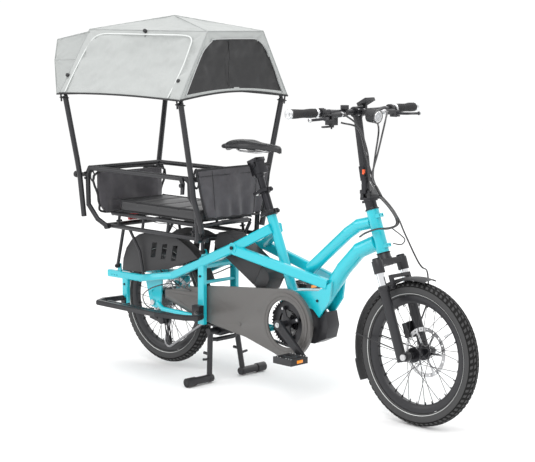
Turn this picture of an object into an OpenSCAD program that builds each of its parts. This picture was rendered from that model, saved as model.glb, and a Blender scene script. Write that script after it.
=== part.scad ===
// Compact long-tail cargo bicycle with a passenger seat and a fabric canopy.
// +X forward, +Y to the rider's left, +Z up, ground at z = 0, rear axle above x = 0.

/* [Wheels] */
// Distance between the wheel axles
wheelbase = 1320; // [1310:1:1330]
// Outer radius of both tyres
tyre_r = 258; // [252:1:259]
// Width of both tyres
tyre_w = 55; // [50:1:56]
// Height of the rear tyre above the ground when parked on its stand
lift = 16; // [4:1:20]
// Radius of both brake rotors
rotor_r = 90; // [80:1:92]
// Number of spokes in each wheel
spokes = 32; // [24:4:36]

/* [Frame] */
// Outside radius of the head tube
head_r = 23; // [22.5:0.5:26]
// Radius of the round top tube
top_tube_r = 23; // [18:0.5:25]
// Radius of the down tube
down_tube_r = 29; // [24:0.5:32]
// Height of the twin side beams
beam_h = 38; // [30:1:42]
// Width of the twin side beams
beam_w = 24; // [20:1:26]
// Distance of each side beam from the middle of the bicycle
beam_y = 88; // [86:1:90]

/* [Drive] */
// Teeth on the chainring
ring_teeth = 44; // [38:1:44]
// Teeth on the rear sprocket the chain sits on
cog_teeth = 18; // [18:1:18]
// Length of each crank arm between its two axes
crank_len = 160; // [155:5:170]
// Length of the pedal body from front to back
pedal_l = 92; // [80:2:100]

/* [Cockpit] */
// Overall width of the handlebar
bar_w = 690; // [640:10:720]
// Outside radius of the handlebar tube
bar_r = 11.1; // [10.9:0.1:11.1]

/* [Passenger area] */
// Thickness of the seat cushion
cushion_h = 54; // [40:1:60]
// Length of the seat cushion
cushion_l = 500; // [440:10:520]
// Radius of the passenger hoop tubes
hoop_r = 10; // [8:0.5:11]
// Height of the canopy hem above the ground
hem_z = 1118; // [1100:1:1130]
// Height of the canopy roof edge above the ground
roof_z = 1375; // [1350:1:1400]
// Radius of the sleeved canopy poles
pole_r = 11; // [9:0.5:11.5]

/* [Hidden] */
$fn = 48;

blue = [0.13, 0.75, 0.83];
black = [0.09, 0.09, 0.10];
dark = [0.2, 0.2, 0.21];
grey = [0.42, 0.41, 0.40];
silver = [0.75, 0.76, 0.78];
canopy_grey = [0.85, 0.85, 0.84];
light_red = [0.7, 0.05, 0.05];
catch_red = [0.85, 0.2, 0.08];

rear_axle_at = [0, 0, tyre_r + lift];
front_axle_at = [wheelbase, 0, tyre_r];
crank_at = [737, 0, 291];
crank_xz = [crank_at.x, crank_at.z];
chain_y = -50;

// Steering axis: lean from vertical, lower end, upward and square-forward directions
head_angle = 20;
head_base = [1152, 0, 597];
steer_up = [-sin(head_angle), 0, cos(head_angle)];
steer_ahead = [cos(head_angle), 0, sin(head_angle)];
function steer_point(up, ahead = 0, y = 0) =
    head_base + up * steer_up + ahead * steer_ahead + [0, y, 0];
head_len = 161;

// Front axle and fork legs, measured along and ahead of the steering axis
hub_up = (front_axle_at - head_base) * steer_up;
hub_ahead = (front_axle_at - head_base) * steer_ahead;
leg_ahead = 18;
leg_y = 66;

// Seat tube axis: lean from vertical, upper end, upward direction
seat_angle = 23;
seat_tube_top = [592, 0, 680];
seat_up = [-sin(seat_angle), 0, cos(seat_angle)];
function seat_point(up) = seat_tube_top + up * seat_up;

// ---- building blocks ----
function polar(radius, angle) = radius * [cos(angle), sin(angle)];

// Lays the children's z axis along the line between two points
module along(from, to) {
    step = to - from;
    translate(from)
        rotate([0, acos(step.z / norm(step)), atan2(step.y, step.x)])
            children();
}
module rod(from, to, radius) {
    along(from, to) cylinder(r = radius, h = norm(to - from));
}
// Chain of straight rods with a slightly larger ball at each bend
module run(points, radius) {
    for (i = [0:len(points) - 2]) rod(points[i], points[i + 1], radius);
    for (i = [1:len(points) - 2]) translate(points[i]) sphere(r = radius + 0.4);
}
// Bar with chamfered corners: height in the vertical plane, width sideways
module beam(from, to, height, width, chamfer = 4) {
    top = height / 2;
    side = width / 2;
    along(from, to) linear_extrude(norm(to - from))
        polygon([
            [top - chamfer, -side], [top, -side + chamfer],
            [top, side - chamfer], [top - chamfer, side],
            [-top + chamfer, side], [-top, side - chamfer],
            [-top, -side + chamfer], [-top + chamfer, -side]]);
}
module box(at, size) { translate(at) cube(size); }
// Cylinder standing on a point, along z
module peg(at, radius, height) { translate(at) cylinder(r = radius, h = height); }
// Cylinders about z; each step is [start z, radius, height]
module stepped(steps) {
    for (step = steps) peg([0, 0, step[0]], step[1], step[2]);
}
// Cylinder along x from a starting point
module x_rod(start, length, radius) {
    translate(start) rotate([0, 90, 0]) cylinder(r = radius, h = length);
}
// Cylinder along y between two y values
module y_rod(x, z, y_from, y_to, radius) {
    translate([x, y_to, z]) rotate([90, 0, 0]) cylinder(r = radius, h = y_to - y_from);
}
// Cylinder along y, centred on the middle plane
module cross_rod(x, z, half, radius) { y_rod(x, z, -half, half, radius); }
// Flat plate drawn in the x-z plane
module plate(y_from, y_to) {
    translate([0, y_to, 0]) rotate([90, 0, 0]) linear_extrude(y_to - y_from) children();
}
module both() {
    children();
    mirror([0, 1, 0]) children();
}
// Copies spaced evenly about z
module around(count, start = 0) {
    for (i = [0:count - 1]) rotate(i * 360 / count + start) children();
}
// Turns children made about z to lie about y: their +z points to the right of the bicycle
module wheel_at(place) { translate(place) rotate([90, 0, 0]) children(); }
// Frames whose z runs up the steering axis, a left fork leg, and the seat tube
module steer_at(up, ahead = 0, y = 0) {
    translate(steer_point(up, ahead, y)) rotate([0, -head_angle, 0]) children();
}
module leg_at(up) { steer_at(up, leg_ahead, leg_y) children(); }
module seat_at(up) { translate(seat_point(up)) rotate([0, -seat_angle, 0]) children(); }

// ---- wheels ----
tyre_tube_r = tyre_w / 2;
tyre_mid_r = tyre_r - tyre_tube_r;
tyre_wall = 4;
tyre_mouth_w = 33.4;
// Rim section: [radius from axle, offset along axle]
rim_profile = [
    [181, -7], [186, -12], [198, -16], [209, -16], [209, -13.5], [200, -13.5], [198, -9],
    [198, 9], [200, 13.5], [209, 13.5], [209, 16], [198, 16], [186, 12], [181, 7]];
spoke_r = 1.1;
spoke_inner_r = 29;
spoke_outer_r = 184;
spoke_twist = 70;         // angle from rim end to hub end
rotor_t = 1.8;
rotor_band = 15;
rear_bore_r = 8.1;

module tyre(axle) {
    wheel_at(axle) rotate_extrude($fn = 96) difference() {
        translate([tyre_mid_r, 0]) circle(r = tyre_tube_r, $fn = 48);
        translate([tyre_mid_r, 0]) circle(r = tyre_tube_r - tyre_wall, $fn = 40);
        translate([180, -tyre_mouth_w / 2]) square([30, tyre_mouth_w]);
    }
}
// Rim with crossed spokes running to a hub flange on each side
module rim_spokes(axle, left_y, right_y) {
    wheel_at(axle) {
        rotate_extrude($fn = 96) polygon(rim_profile);
        for (i = [0:spokes - 1]) {
            angle = 360 / spokes * i;
            on_left = i % 2 == 0;
            twist = floor(i / 2) % 2 == 0 ? spoke_twist : -spoke_twist;
            rod([each polar(spoke_inner_r, angle + twist), on_left ? -left_y : -right_y],
                [each polar(spoke_outer_r, angle), on_left ? -3 : 3], spoke_r, $fn = 16);
        }
    }
}
module rotor(axle, y) {
    translate([0, y, 0]) wheel_at(axle) difference() {
        union() {
            difference() {
                cylinder(r = rotor_r, h = rotor_t, $fn = 96);
                peg([0, 0, -1], rotor_r - rotor_band, 4, $fn = 96);
            }
            around(6) box([20, -4, 0], [rotor_r - 32, 8, rotor_t]);
            cylinder(r = 26, h = rotor_t);
        }
        peg([0, 0, -1], 18, 4);
        around(6, 30) peg([22, 0, -1], 2.2, 4, $fn = 16);
        around(18, 5) peg([rotor_r - rotor_band / 2, 0, -1], 3, 4, $fn = 16);
    }
}
module hub(axle, steps, bore_r, bore_l) {
    wheel_at(axle) difference() {
        stepped(steps);
        peg([0, 0, -bore_l / 2], bore_r, bore_l);
    }
}
module front_tyre() { color(dark) tyre(front_axle_at); }
module rear_tyre() { color(dark) tyre(rear_axle_at); }
module front_rim() { color(black) rim_spokes(front_axle_at, 26, -26); }
module rear_rim() { color(black) rim_spokes(rear_axle_at, 30, -20); }
module front_hub() {
    color(black) hub(front_axle_at,
        [[-48, 14, 96], [-33, 20, 8], [-28, 27, 5], [23, 27, 5], [-36.2, 17.5, 10]],
        7.6, 120);
}
module rear_hub() {
    color(black) hub(rear_axle_at,
        [[-60, 15, 84], [-36, 27, 12], [-32, 27, 5], [18, 27, 5], [-47.2, 17.5, 12]],
        rear_bore_r, 140);
}
module front_axle() {
    color(silver) wheel_at(front_axle_at) stepped([[-84, 7.5, 168], [84, 11, 5], [-89, 11, 5]]);
}
module rear_axle() {
    color(silver) wheel_at(rear_axle_at) {
        stepped([[-84, 8, 168]]);
        stepped([[83, 13, 6], [-89, 13, 6]], $fn = 6);
    }
}
module front_rotor() { color(silver) rotor(front_axle_at, 39.2); }
module rear_rotor() { color(silver) rotor(rear_axle_at, 50.2); }

// ---- chain drive ----
pitch = 12.7;
function pitch_r(teeth) = pitch / (2 * sin(180 / teeth));
// One tooth: [angle as a fraction of a tooth, offset from the pitch radius]
tooth_profile = [[-0.36, -4.6], [-0.24, -4.6], [-0.1, 2.2], [0.1, 2.2], [0.24, -4.6]];
cogs = [11, 13, 15, cog_teeth, 21, 24, 28, 32];
chain_cog = 3;            // index of the sprocket in line with the chain
cog_step = 5;
cog_t = 1.8;
pulley_teeth = 11;

// Points in the x-z plane
guide_at = [45, 205];
tension_at = [62, 118];
idler_at = [330, 234];    // rubbing block that lifts the lower run

// The chain's loop: centre, radius, side (1 turns with the ring, -1 against)
wraps = [
    [crank_xz, pitch_r(ring_teeth), 1],
    [idler_at, 24, -1],
    [tension_at, pitch_r(pulley_teeth), 1],
    [guide_at, pitch_r(pulley_teeth), -1],
    [[0, rear_axle_at.z], pitch_r(cog_teeth), 1]];
wrap_count = len(wraps);

// Direction of the straight run between two wraps
function heading(from, to) =
    let (gap = to[0] - from[0], offset = from[2] * from[1] - to[2] * to[1])
    atan2(gap.y, gap.x) - asin(offset / norm(gap));
function normal(angle) = [-sin(angle), cos(angle)];
function full_turn(angle) = (angle % 360 + 360) % 360;
headings = [for (i = [0:wrap_count - 1]) heading(wraps[i], wraps[(i + 1) % wrap_count])];
// Point on a wrap where the chain travels in a given direction
function wrap_point(wrap, angle) = wrap[0] + wrap[2] * wrap[1] * normal(angle);
// Arc points with their normals, swept from entry to exit
function arc_points(i) =
    let (angle_in = headings[(i + wrap_count - 1) % wrap_count],
        angle_out = headings[i],
        sweep = wraps[i][2] > 0 ? -full_turn(angle_in - angle_out)
            : full_turn(angle_out - angle_in),
        count = max(4, ceil(abs(sweep) / 9)))
    [for (k = [0:count]) let (angle = angle_in + sweep * k / count)
        [wrap_point(wraps[i], angle), normal(angle)]];
loop = [for (i = [0:wrap_count - 1]) each arc_points(i)];

module loop_band(half_w) {
    count = len(loop);
    polygon(
        concat([for (p = loop) p[0] + half_w * p[1]], [for (p = loop) p[0] - half_w * p[1]]),
        [[for (i = [0:count - 1]) i], [for (i = [0:count - 1]) count + i]]);
}
module chain() {
    color(dark) {
        // side plates all round the loop
        for (y = [-3.3, 2.1]) plate(chain_y + y, chain_y + y + 1.2) loop_band(4);
        // rollers on the three long runs
        for (i = [0, 1, 4])
            let (start = wrap_point(wraps[i], headings[i]),
                end = wrap_point(wraps[(i + 1) % wrap_count], headings[i]),
                length = norm(end - start),
                links = floor(length / pitch) - 1)
            for (k = [3:links - 2]) let (place = start + (end - start) * k * pitch / length)
                y_rod(place.x, place.y, chain_y - 2.6, chain_y + 2.6, 3.4, $fn = 20);
    }
}
// Toothed wheel centred on z = 0
module toothed(teeth, thickness) {
    translate([0, 0, -thickness / 2]) linear_extrude(thickness)
        polygon([for (i = [0:teeth - 1]) for (corner = tooth_profile)
            polar(pitch_r(teeth) + corner[1], (i + corner[0]) * 360 / teeth)]);
}
module cassette() {
    color(silver) wheel_at(rear_axle_at) difference() {
        union() {
            for (i = [0:len(cogs) - 1])
                translate([0, 0, -chain_y - (i - chain_cog) * cog_step]) toothed(cogs[i], cog_t);
            stepped([[29, 17, 38], [66, 15, 3]]);
        }
        peg([0, 0, 20], rear_bore_r, 60);
    }
}
module pulley(centre) {
    color(black) wheel_at([centre.x, chain_y, centre.y]) difference() {
        union() {
            toothed(pulley_teeth, 2);
            peg([0, 0, -3.2], 8, 6.4);
        }
        peg([0, 0, -5], 3.1, 10);
    }
}
module guide_pulley() { pulley(guide_at); }
module tension_pulley() { pulley(tension_at); }
// Slot shape between two discs in the x-z plane
module link(from, to, radius) {
    hull() {
        translate(from) circle(r = radius);
        translate(to) circle(r = radius);
    }
}
module derailleur_cage() {
    color(black) {
        for (y = [-5, 5]) plate(chain_y + y - 1, chain_y + y + 1) difference() {
            link(guide_at, tension_at, 10);
            link(guide_at + [4, -24], guide_at + [12, -62], 4);
        }
        for (pin = [guide_at, tension_at]) y_rod(pin.x, pin.y, chain_y - 8.5, chain_y + 6.5, 3);
        y_rod(guide_at.x, guide_at.y, chain_y - 14, chain_y - 7, 9);
    }
}
module derailleur_body() {
    color(black) {
        // knuckle that carries the cage
        difference() {
            y_rod(guide_at.x, guide_at.y, chain_y - 32, chain_y - 10.5, 16);
            y_rod(guide_at.x, guide_at.y, chain_y - 14.4, chain_y - 10, 9.1);
            y_rod(guide_at.x, guide_at.y, chain_y - 15, chain_y - 8, 3.2);
        }
        // parallelogram links and the mounting knuckle below the dropout
        plate(-80, -68) polygon([
            guide_at + [-12, -10], guide_at + [8, -12], [-4, 222], [-24, 218], [-26, 206]]);
        y_rod(-12, 222, -84, -68, 13);
        plate(-84, -80.5) polygon([[-22, 214], [-4, 214], [6, 250], [-16, 250]]);
        y_rod(-24, 214, -78, -62, 4);
    }
}

// ---- cranks and pedals: side is 1 for the right, -1 for the left ----
crank_angle = -40;        // right arm, below forward
arm_in_y = 100;
arm_out_y = 112;
spider_start = 20;        // angle of the first spider arm
ring_bolt_x = 58;         // ring bolts' distance from the crank axis
function pedal_xz(side) = crank_xz + side * polar(crank_len, crank_angle);

module crank_at_y(y) { wheel_at([crank_at.x, y, crank_at.z]) children(); }
module crank_arm(side, y_from, y_to) {
    end = pedal_xz(side);
    difference() {
        union() {
            plate(y_from, y_to) hull() {
                translate(crank_xz) circle(r = 17);
                translate(end) circle(r = 13);
            }
            y_rod(crank_at.x, crank_at.z, y_from - 1, y_to + 1, 19);
        }
        y_rod(end.x, end.y, y_from - 5, y_to + 5, 7.1);
    }
}
module crankset() {
    color(black) {
        crank_arm(1, -arm_out_y, -arm_in_y);
        crank_arm(-1, arm_in_y, arm_out_y);
        cross_rod(crank_at.x, crank_at.z, arm_in_y + 1, 12);
        // spider, its boss and the ring bolts
        crank_at_y(chain_y - 8) around(4, spider_start) difference() {
            box([8, -8, 0], [58, 16, 5]);
            peg([ring_bolt_x, 0, -1], 4.1, 8);
        }
        y_rod(crank_at.x, crank_at.z, chain_y - 14, chain_y - 7, 24);
        crank_at_y(chain_y + 4) around(4, spider_start) peg([ring_bolt_x, 0, 0], 4.05, 18);
    }
}
module chainring() {
    ring_t = 2.2;
    bolt_hole_r = 4.15;
    color(dark) crank_at_y(chain_y) difference() {
        union() {
            toothed(ring_teeth, ring_t);
            peg([0, 0, -ring_t / 2], pitch_r(ring_teeth) - 6, ring_t);
        }
        peg([0, 0, -5], 50, 10);
        around(4, spider_start) peg([ring_bolt_x, 0, -5], bolt_hole_r, 10);
    }
    // bolt tabs, trimmed to a round outer edge
    color(dark) crank_at_y(chain_y + ring_t / 2) around(4, spider_start) difference() {
        box([50, -9, 0], [22, 18, ring_t]);
        peg([ring_bolt_x, 0, -5], bolt_hole_r, 12);
        difference() {
            peg([0, 0, -5], 200, 12);
            peg([0, 0, -6], 74, 14);
        }
    }
}
// Drawn with +y pointing outward from the bicycle
module pedal(side) {
    place = pedal_xz(side);
    half = pedal_l / 2;
    translate([place.x, -side * 118, place.y]) mirror([0, side > 0 ? 1 : 0, 0]) difference() {
        union() {
            y_rod(0, 0, -22, 96, 7);
            y_rod(0, 0, 4, 94, 11);
            for (y = [8, 86]) box([-half, y, -12], [pedal_l, 10, 24]);
            for (x = [-half, half - 8]) box([x, 12, -12], [8, 80, 24]);
            box([-half + 4, 44, -10], [pedal_l - 8, 12, 20]);
        }
        // shallow recesses in the front and back edges
        for (x = [-half - 1, half - 3]) box([x, 34, -6], [4, 32, 12]);
    }
}
module pedal_right() { color(black) pedal(1); }
module pedal_left() { color(black) pedal(-1); }

// ---- chain guard ----
guard_y = -75;            // outer face
guard_r = 132;
guard_screw = [500, 254];
lower_member = [298, 264];    // lower cross member of the frame
// Tail strip behind the guard's main part: [x, z]
guard_tail = [[332, 384], [332, 234], [260, 250], [200, 262], [66, 300], [66, 334]];

// Disc round the crank and the part behind it; rear_edge holds its two rear corners
module guard_body(inset, rear_edge) {
    translate(crank_xz) circle(r = guard_r - inset, $fn = 72);
    polygon([
        crank_xz + [0, guard_r - inset], [612, 410 - inset],
        each rear_edge,
        [532, 208 + inset], crank_xz + [-50, inset - 122]]);
}
module guard_opening() { translate(crank_xz + [4, 0]) circle(r = 90, $fn = 72); }
module chain_guard() {
    color(grey) difference() {
        union() {
            // outer face
            plate(guard_y, guard_y + 3) difference() {
                union() {
                    guard_body(0, [[330, 384], [330, 234]]);
                    polygon(guard_tail);
                }
                guard_opening();
            }
            // rim that returns over the chainring
            plate(guard_y + 2.5, guard_y + 17) difference() {
                guard_body(0, [[370, 386], [370, 232]]);
                guard_body(4, [[360, 382], [360, 220]]);
            }
            // raised ring round the opening
            plate(guard_y - 4, guard_y + 0.5) difference() {
                translate(crank_xz) circle(r = 118, $fn = 72);
                guard_opening();
            }
        }
        // tapering slot in the rear part
        plate(guard_y - 1, guard_y + 1.6) polygon([[150, 298], [250, 300], [226, 272]]);
        // screw hole and the passage for the lower cross member
        y_rod(guard_screw.x, guard_screw.y, guard_y - 1, guard_y + 4, 2.6);
        y_rod(lower_member.x, lower_member.y, guard_y - 1, guard_y + 4, 10.5);
    }
    color(silver) {
        y_rod(guard_screw.x, guard_screw.y, guard_y - 1.8, guard_y - 0.2, 5);
        y_rod(guard_screw.x, guard_screw.y, guard_y - 0.5, -39.4, 2.4);
    }
}

// ---- frame ----
post_x = 300;             // front vertical posts
rear_post_x = -160;
rear_post_y = beam_y + 2;
// Left side beam, from its rear end forward
beam_tail = [-268, beam_y, 364];
beam_rear = [-60, beam_y, 368];
beam_mid = [130, beam_y, 402];
beam_end = [478, beam_y, 552];
beam_post = beam_mid
    + (beam_end - beam_mid) * (post_x - beam_mid.x) / (beam_end.x - beam_mid.x);
lug_heights = [24, 134];  // head tube lugs, up the steering axis
// Screw holes that join rack and frame, in the x-z plane
rear_tab = [-203, 402];
front_tab = [314, 518];
tab_hole_r = 3.2;
// Plate outlines, [x, z]
dropout_outline = [
    [-48, 356], [50, 372], [44, 300], [40, 262], [14, 252], [-16, 256], [-24, 280]];
rear_tab_outline = [[-216, 372], [-192, 372], [-196, 412], [-210, 412]];
front_tab_outline = [[290, 480], [334, 492], [322, 528], [306, 528]];
cradle_side = [
    [640, 252], [650, 300], [700, 400], [860, 420], [940, 470], [930, 400],
    [880, 330], [850, 356], [760, 372], [690, 330], [668, 250]];
cradle_top = [[690, 372], [700, 408], [884, 430], [888, 386], [780, 380]];

module main_tubes() {
    steer_at(0) cylinder(r = head_r, h = head_len);
    // top tube, down tube, seat tube
    run([[800, 0, 500], [985, 0, 655], [1035, 0, 688], [1098, 0, 704]], top_tube_r);
    run([[856, 0, 372], [965, 0, 520], [1040, 0, 596], [1122, 0, 634]], down_tube_r);
    rod(seat_point(-312), seat_point(0), 19);
    // lugs on the front of the head tube
    for (up = lug_heights) steer_at(up) box([10, -13, -7], [24, 26, 14]);
}
// Left side beam and the parts joined to it
module side_beam() {
    beam(beam_tail, beam_rear, 30, beam_w);
    beam(beam_rear, beam_mid, 30, beam_w);
    beam(beam_mid, beam_post, 32, beam_w);
    beam(beam_post, beam_end, beam_h, beam_w);
    for (bend = [beam_rear, beam_mid])
        wheel_at(bend) cylinder(r = 14.9, h = beam_w - 4, center = true);
    wheel_at(beam_end) rotate(200) cylinder(r = 20.2, h = beam_w - 3, center = true);
    // upper stay to the seat tube
    beam(beam_end + [0, -2, 0], [612, 24, 634], beam_h, beam_w - 2);
    // lower beam to the down tube
    beam(beam_end + [0, -1, -8], [717, 58, 497], beam_h, beam_w - 1);
    beam([712, 59, 498], [915, 32, 458], beam_h, beam_w - 2);
    // vertical posts
    beam([post_x, beam_y, 228], [post_x, beam_y, 467], 34, 21.4, 3);
    beam([rear_post_x, rear_post_y, 252], [rear_post_x, rear_post_y, 359], 32, 18.6, 3);
    // chainstay
    run([[24, 79, 276], [66, beam_y, 256], [post_x, beam_y, 252]], 9.6);
    // spine rail from the lower cross member to the motor cradle
    run([[298, 30, 262], [340, 30, 240], [600, 30, 240], [672, 34, 262]], 9);
    // dropout plate and the rack tabs
    plate(72, 79) polygon(dropout_outline);
    plate(84, 90) polygon(rear_tab_outline);
    plate(beam_y - 3, beam_y + 3) polygon(front_tab_outline);
}
module frame_cuts() {
    // head tube bore and the screw holes in its lugs
    steer_at(-5) cylinder(r = 18, h = 172);
    for (up = lug_heights, y = [-8, 8]) steer_at(up) x_rod([20, y, 0], 20, 2.6);
    // seat tube bore
    rod(seat_point(-300), seat_point(10), 16.1);
    both() {
        // axle hole and a small hole above it
        y_rod(0, rear_axle_at.z, 67, 83, 8.3);
        y_rod(-6, 320, 67, 83, 3);
        // holes in the rear end of the beam
        for (x = [-240, -224, -208]) y_rod(x, 362, beam_y - 20, beam_y + 20, 3);
        // rack holes
        y_rod(rear_tab.x, rear_tab.y, 79, 95, tab_hole_r);
        y_rod(front_tab.x, front_tab.y, beam_y - 8, beam_y + 8, tab_hole_r);
        // post mouths for the foot board frames
        peg([post_x, beam_y, 220], 8.2, 70);
        peg([rear_post_x, rear_post_y, 240], 7.2, 60);
    }
    // room for the motor
    plate(-42, 42) translate(crank_xz) circle(r = 72);
}
module frame() {
    color(blue) difference() {
        union() {
            main_tubes();
            both() side_beam();
            // cross members
            cross_rod(300, 462, beam_y, 14);
            cross_rod(306, 394, beam_y, 7);
            cross_rod(lower_member.x, lower_member.y, beam_y, 9);
            cross_rod(-258, 364, beam_y, 7.5);
            // cradle that carries the motor
            both() plate(32, 40) polygon(cradle_side);
            plate(-38, 38) polygon(cradle_top);
        }
        frame_cuts();
    }
}

// ---- motor and battery ----
// Outlines, [x, z]
motor_outline = [
    [676, 250], [682, 340], [724, 366], [790, 372], [860, 350], [905, 352],
    [918, 300], [905, 252], [850, 226], [740, 222]];
motor_relief = [[856, 440], [846, 352], [874, 322], [960, 420]];
battery_outline = [
    [-160, -34], [-144, -46], [140, -46], [158, -30],
    [158, 22], [140, 42], [-110, 42], [-160, 16]];
battery_slope = 30;
battery_w = 84;

module motor() {
    color(black) difference() {
        union() {
            plate(-31.6, 31.6) difference() {
                polygon(motor_outline);
                translate([600, 372]) square([400, 40]);
            }
            cross_rod(crank_at.x, crank_at.z, 41, 62);
        }
        cross_rod(crank_at.x, crank_at.z, 60, 12.2);
        // keeps clear of the frame above
        plate(-60, 60) polygon(motor_relief);
    }
}
module battery() {
    color(dark) translate([475, 0, 500]) rotate([0, battery_slope, 0]) difference() {
        plate(-battery_w / 2, battery_w / 2) polygon(battery_outline);
        // charge port
        y_rod(-60, 0, -50, -40, 9);
        // thin cut across the lower end
        box([100, -50, -60], [1.6, 100, 120]);
        // handle recess in the upper end
        box([-167, -22, -8], [14, 44, 18]);
    }
}

// ---- foot boards ----
board_z = 274;            // middle height of the tube loop
// Left tube loop, [x, y]
board_path = [
    [-162, beam_y + 24], [-174, 200], [-150, 246], [200, 243],
    [330, 212], [370, 182], [360, 150], [300, 119]];

// Flat band along a path, with round corners
module band(points, half_w) {
    for (i = [0:len(points) - 2]) let (step = points[i + 1] - points[i])
        translate(points[i]) rotate([0, 0, atan2(step.y, step.x)])
            translate([0, -half_w]) square([norm(step), 2 * half_w]);
    for (point = points) translate(point) circle(r = half_w + 0.6, $fn = 24);
}
module foot_boards() {
    color(black) both() {
        // formed tube loop, chamfered above and below: [half width, height]
        for (layer = [[7, 20], [10, 13]])
            translate([0, 0, board_z - layer[1] / 2])
                linear_extrude(layer[1]) band(board_path, layer[0]);
        // bracket and peg at the rear post
        box([-171, beam_y + 13, 243], [22, 8, 32]);
        box([-171, beam_y - 5, 243], [22, 22, 8]);
        peg([rear_post_x, rear_post_y, 243], 7, 48);
    }
    // block beside each front post
    color(black) both() difference() {
        box([280, 99.5, 262], [40, 26, 44]);
        box([279, 90, 255], [42, 9.6, 60]);
    }
    // tread frame inside each tube loop: a rail and its [x, outer y] cross bars
    color(black) both() {
        box([-145, 196, 266], [440, 12, 12]);
        for (bar = [[-60, 236.5], [80, 235], [210, 231]])
            box([bar.x - 5, 200, 267], [10, bar.y - 200, 10]);
    }
}

// ---- fenders and wheel guards ----
// Fender sections: [radius from axle, offset along axle]
rear_fender_profile = [
    [262, -32], [268, -30], [271, -20], [272, 0], [271, 20], [268, 30], [262, 32],
    [263.5, 33.5], [270, 31.5], [273, 21], [274.2, 0], [273, -21], [270, -31.5], [263.5, -33.5]];
front_fender_profile = [
    [264, -31], [268, -29], [271, -20], [272, 0], [271, 20], [268, 29], [264, 31],
    [265.5, 32.5], [270, 30.5], [273, 21], [274.2, 0], [273, -21], [270, -30.5], [265.5, -32.5]];
flap_profile = [
    [270, -33], [274, -22], [275, 0], [274, 22], [270, 33],
    [272, 34], [276.4, 23], [277.4, 0], [276.4, -23], [272, -34]];
// Side guard outline, [x, z]
wheel_guard_outline = [
    [-166, 390], [-160, 440], [-140, 486], [-106, 524], [-60, 550], [0, 566], [60, 570],
    [130, 566], [190, 550], [244, 524], [292, 490], [120, 428], [-60, 394]];

module fender(axle, start, sweep, profile) {
    wheel_at(axle) rotate([0, 0, start])
        rotate_extrude(angle = sweep, $fn = 96) polygon(profile);
}
module rear_fender() {
    color(black) {
        fender(rear_axle_at, 22, 126, rear_fender_profile);
        both() rod([-6, 66, 322], rear_axle_at + [-205, 36, 160], 2.5);
    }
}
module front_fender() {
    color(black) {
        fender(front_axle_at, 80, 112, front_fender_profile);
        // flared flap at the rear
        fender(front_axle_at, 191.5, 17, flap_profile);
        both() rod(front_axle_at + [-48, 44, 8], front_axle_at + [-264, 34, 40], 2.4);
    }
}
module wheel_guards() {
    color(black) both() plate(beam_y + 13.5, beam_y + 16.5) difference() {
        polygon(wheel_guard_outline);
        // three slanted slots
        for (i = [0:2]) translate([30 + i * 62, 492])
            polygon([[-20, -30], [8, -26], [20, 36], [-8, 32]]);
    }
}

// ---- rack and passenger area ----
low_rail_y = 138;
low_rail_z = 575;
high_rail_y = 130;
high_rail_z = 626;
slat_l = 262;
hoop_y = 190;
cushion_half = cushion_l / 2;
// Plan outline, [x, y]
cushion_outline = [
    [-cushion_half, -118], [-cushion_half + 20, -134],
    [cushion_half - 20, -134], [cushion_half, -118],
    [cushion_half, 118], [cushion_half - 20, 134],
    [-cushion_half + 20, 134], [-cushion_half, 118]];
// Left hoop from its rear socket up, forward and down
hoop_path = [
    [-196, 160, low_rail_z], [-236, 176, 602], [-276, hoop_y, 660], [-280, hoop_y, 790],
    [-266, hoop_y, 812], [320, hoop_y, 812], [336, 188, 800], [330, 180, 740],
    [352, 168, 700], [352, 160, low_rail_z]];
latch_outline = [[288, 818], [306, 822], [322, 796], [318, 752], [302, 750], [304, 790]];
// Panel outlines, [y, z]
front_panel_outline = [
    [-204, 842], [-190, 852], [190, 852], [204, 842], [176, 740],
    [142, 655], [110, 655], [-110, 655], [-142, 655], [-176, 740]];
rear_panel_outline = [
    [-178, 800], [178, 800], [176, 660], [140, 622], [-140, 622], [-176, 660]];

module rack_side() {
    // lower rail, upper rail and the posts between them
    rod([-226, low_rail_y, low_rail_z], [384, low_rail_y, low_rail_z], 9);
    rod([-196, high_rail_y, high_rail_z], [346, high_rail_y, high_rail_z], 8);
    rod([338, 128, high_rail_z], [392, 64, 640], 7);
    for (x = [-150, 0, 150, 300])
        rod([x, low_rail_y, low_rail_z], [x, high_rail_y, high_rail_z], 6);
    // stays down to the frame
    rod([-118, 136, low_rail_z], [rear_tab.x, 99, rear_tab.y], 7);
    run([[-84, 136, low_rail_z], [-40, 118, 482], [-22, 114, 390]], 6);
    rod([345, 131, 620], [front_tab.x, 100, front_tab.y], 7);
    y_rod(rear_tab.x, rear_tab.y, 91, 106, 9);
    y_rod(front_tab.x, front_tab.y, beam_y + 4, beam_y + 18, 9);
    // carrier hooks
    for (x = [-150, 300]) y_rod(x, 600, 120, 146, 4);
}
module rack() {
    color(black) difference() {
        union() {
            both() rack_side();
            cross_rod(-212, low_rail_z, 142, 10);
            cross_rod(310, low_rail_z, 136, 7);
            cross_rod(392, 640, 70, 8.5);
            cross_rod(-190, high_rail_z, 134, 9);
            // deck slats
            for (x = [-100, 40, 180, 320]) box([x - 16, -slat_l / 2, 618], [32, slat_l, 6]);
        }
        both() {
            y_rod(rear_tab.x, rear_tab.y, 86, 110, tab_hole_r);
            y_rod(front_tab.x, front_tab.y, beam_y - 1, beam_y + 23, tab_hole_r);
        }
    }
}
module cushion() {
    color(dark) translate([85, 0, 637]) difference() {
        linear_extrude(cushion_h) polygon(cushion_outline);
        // bevel on the upper rear edge
        translate([-cushion_half - 5, -150, cushion_h - 8])
            rotate([0, -45, 0]) cube([30, 300, 30]);
    }
}
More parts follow.
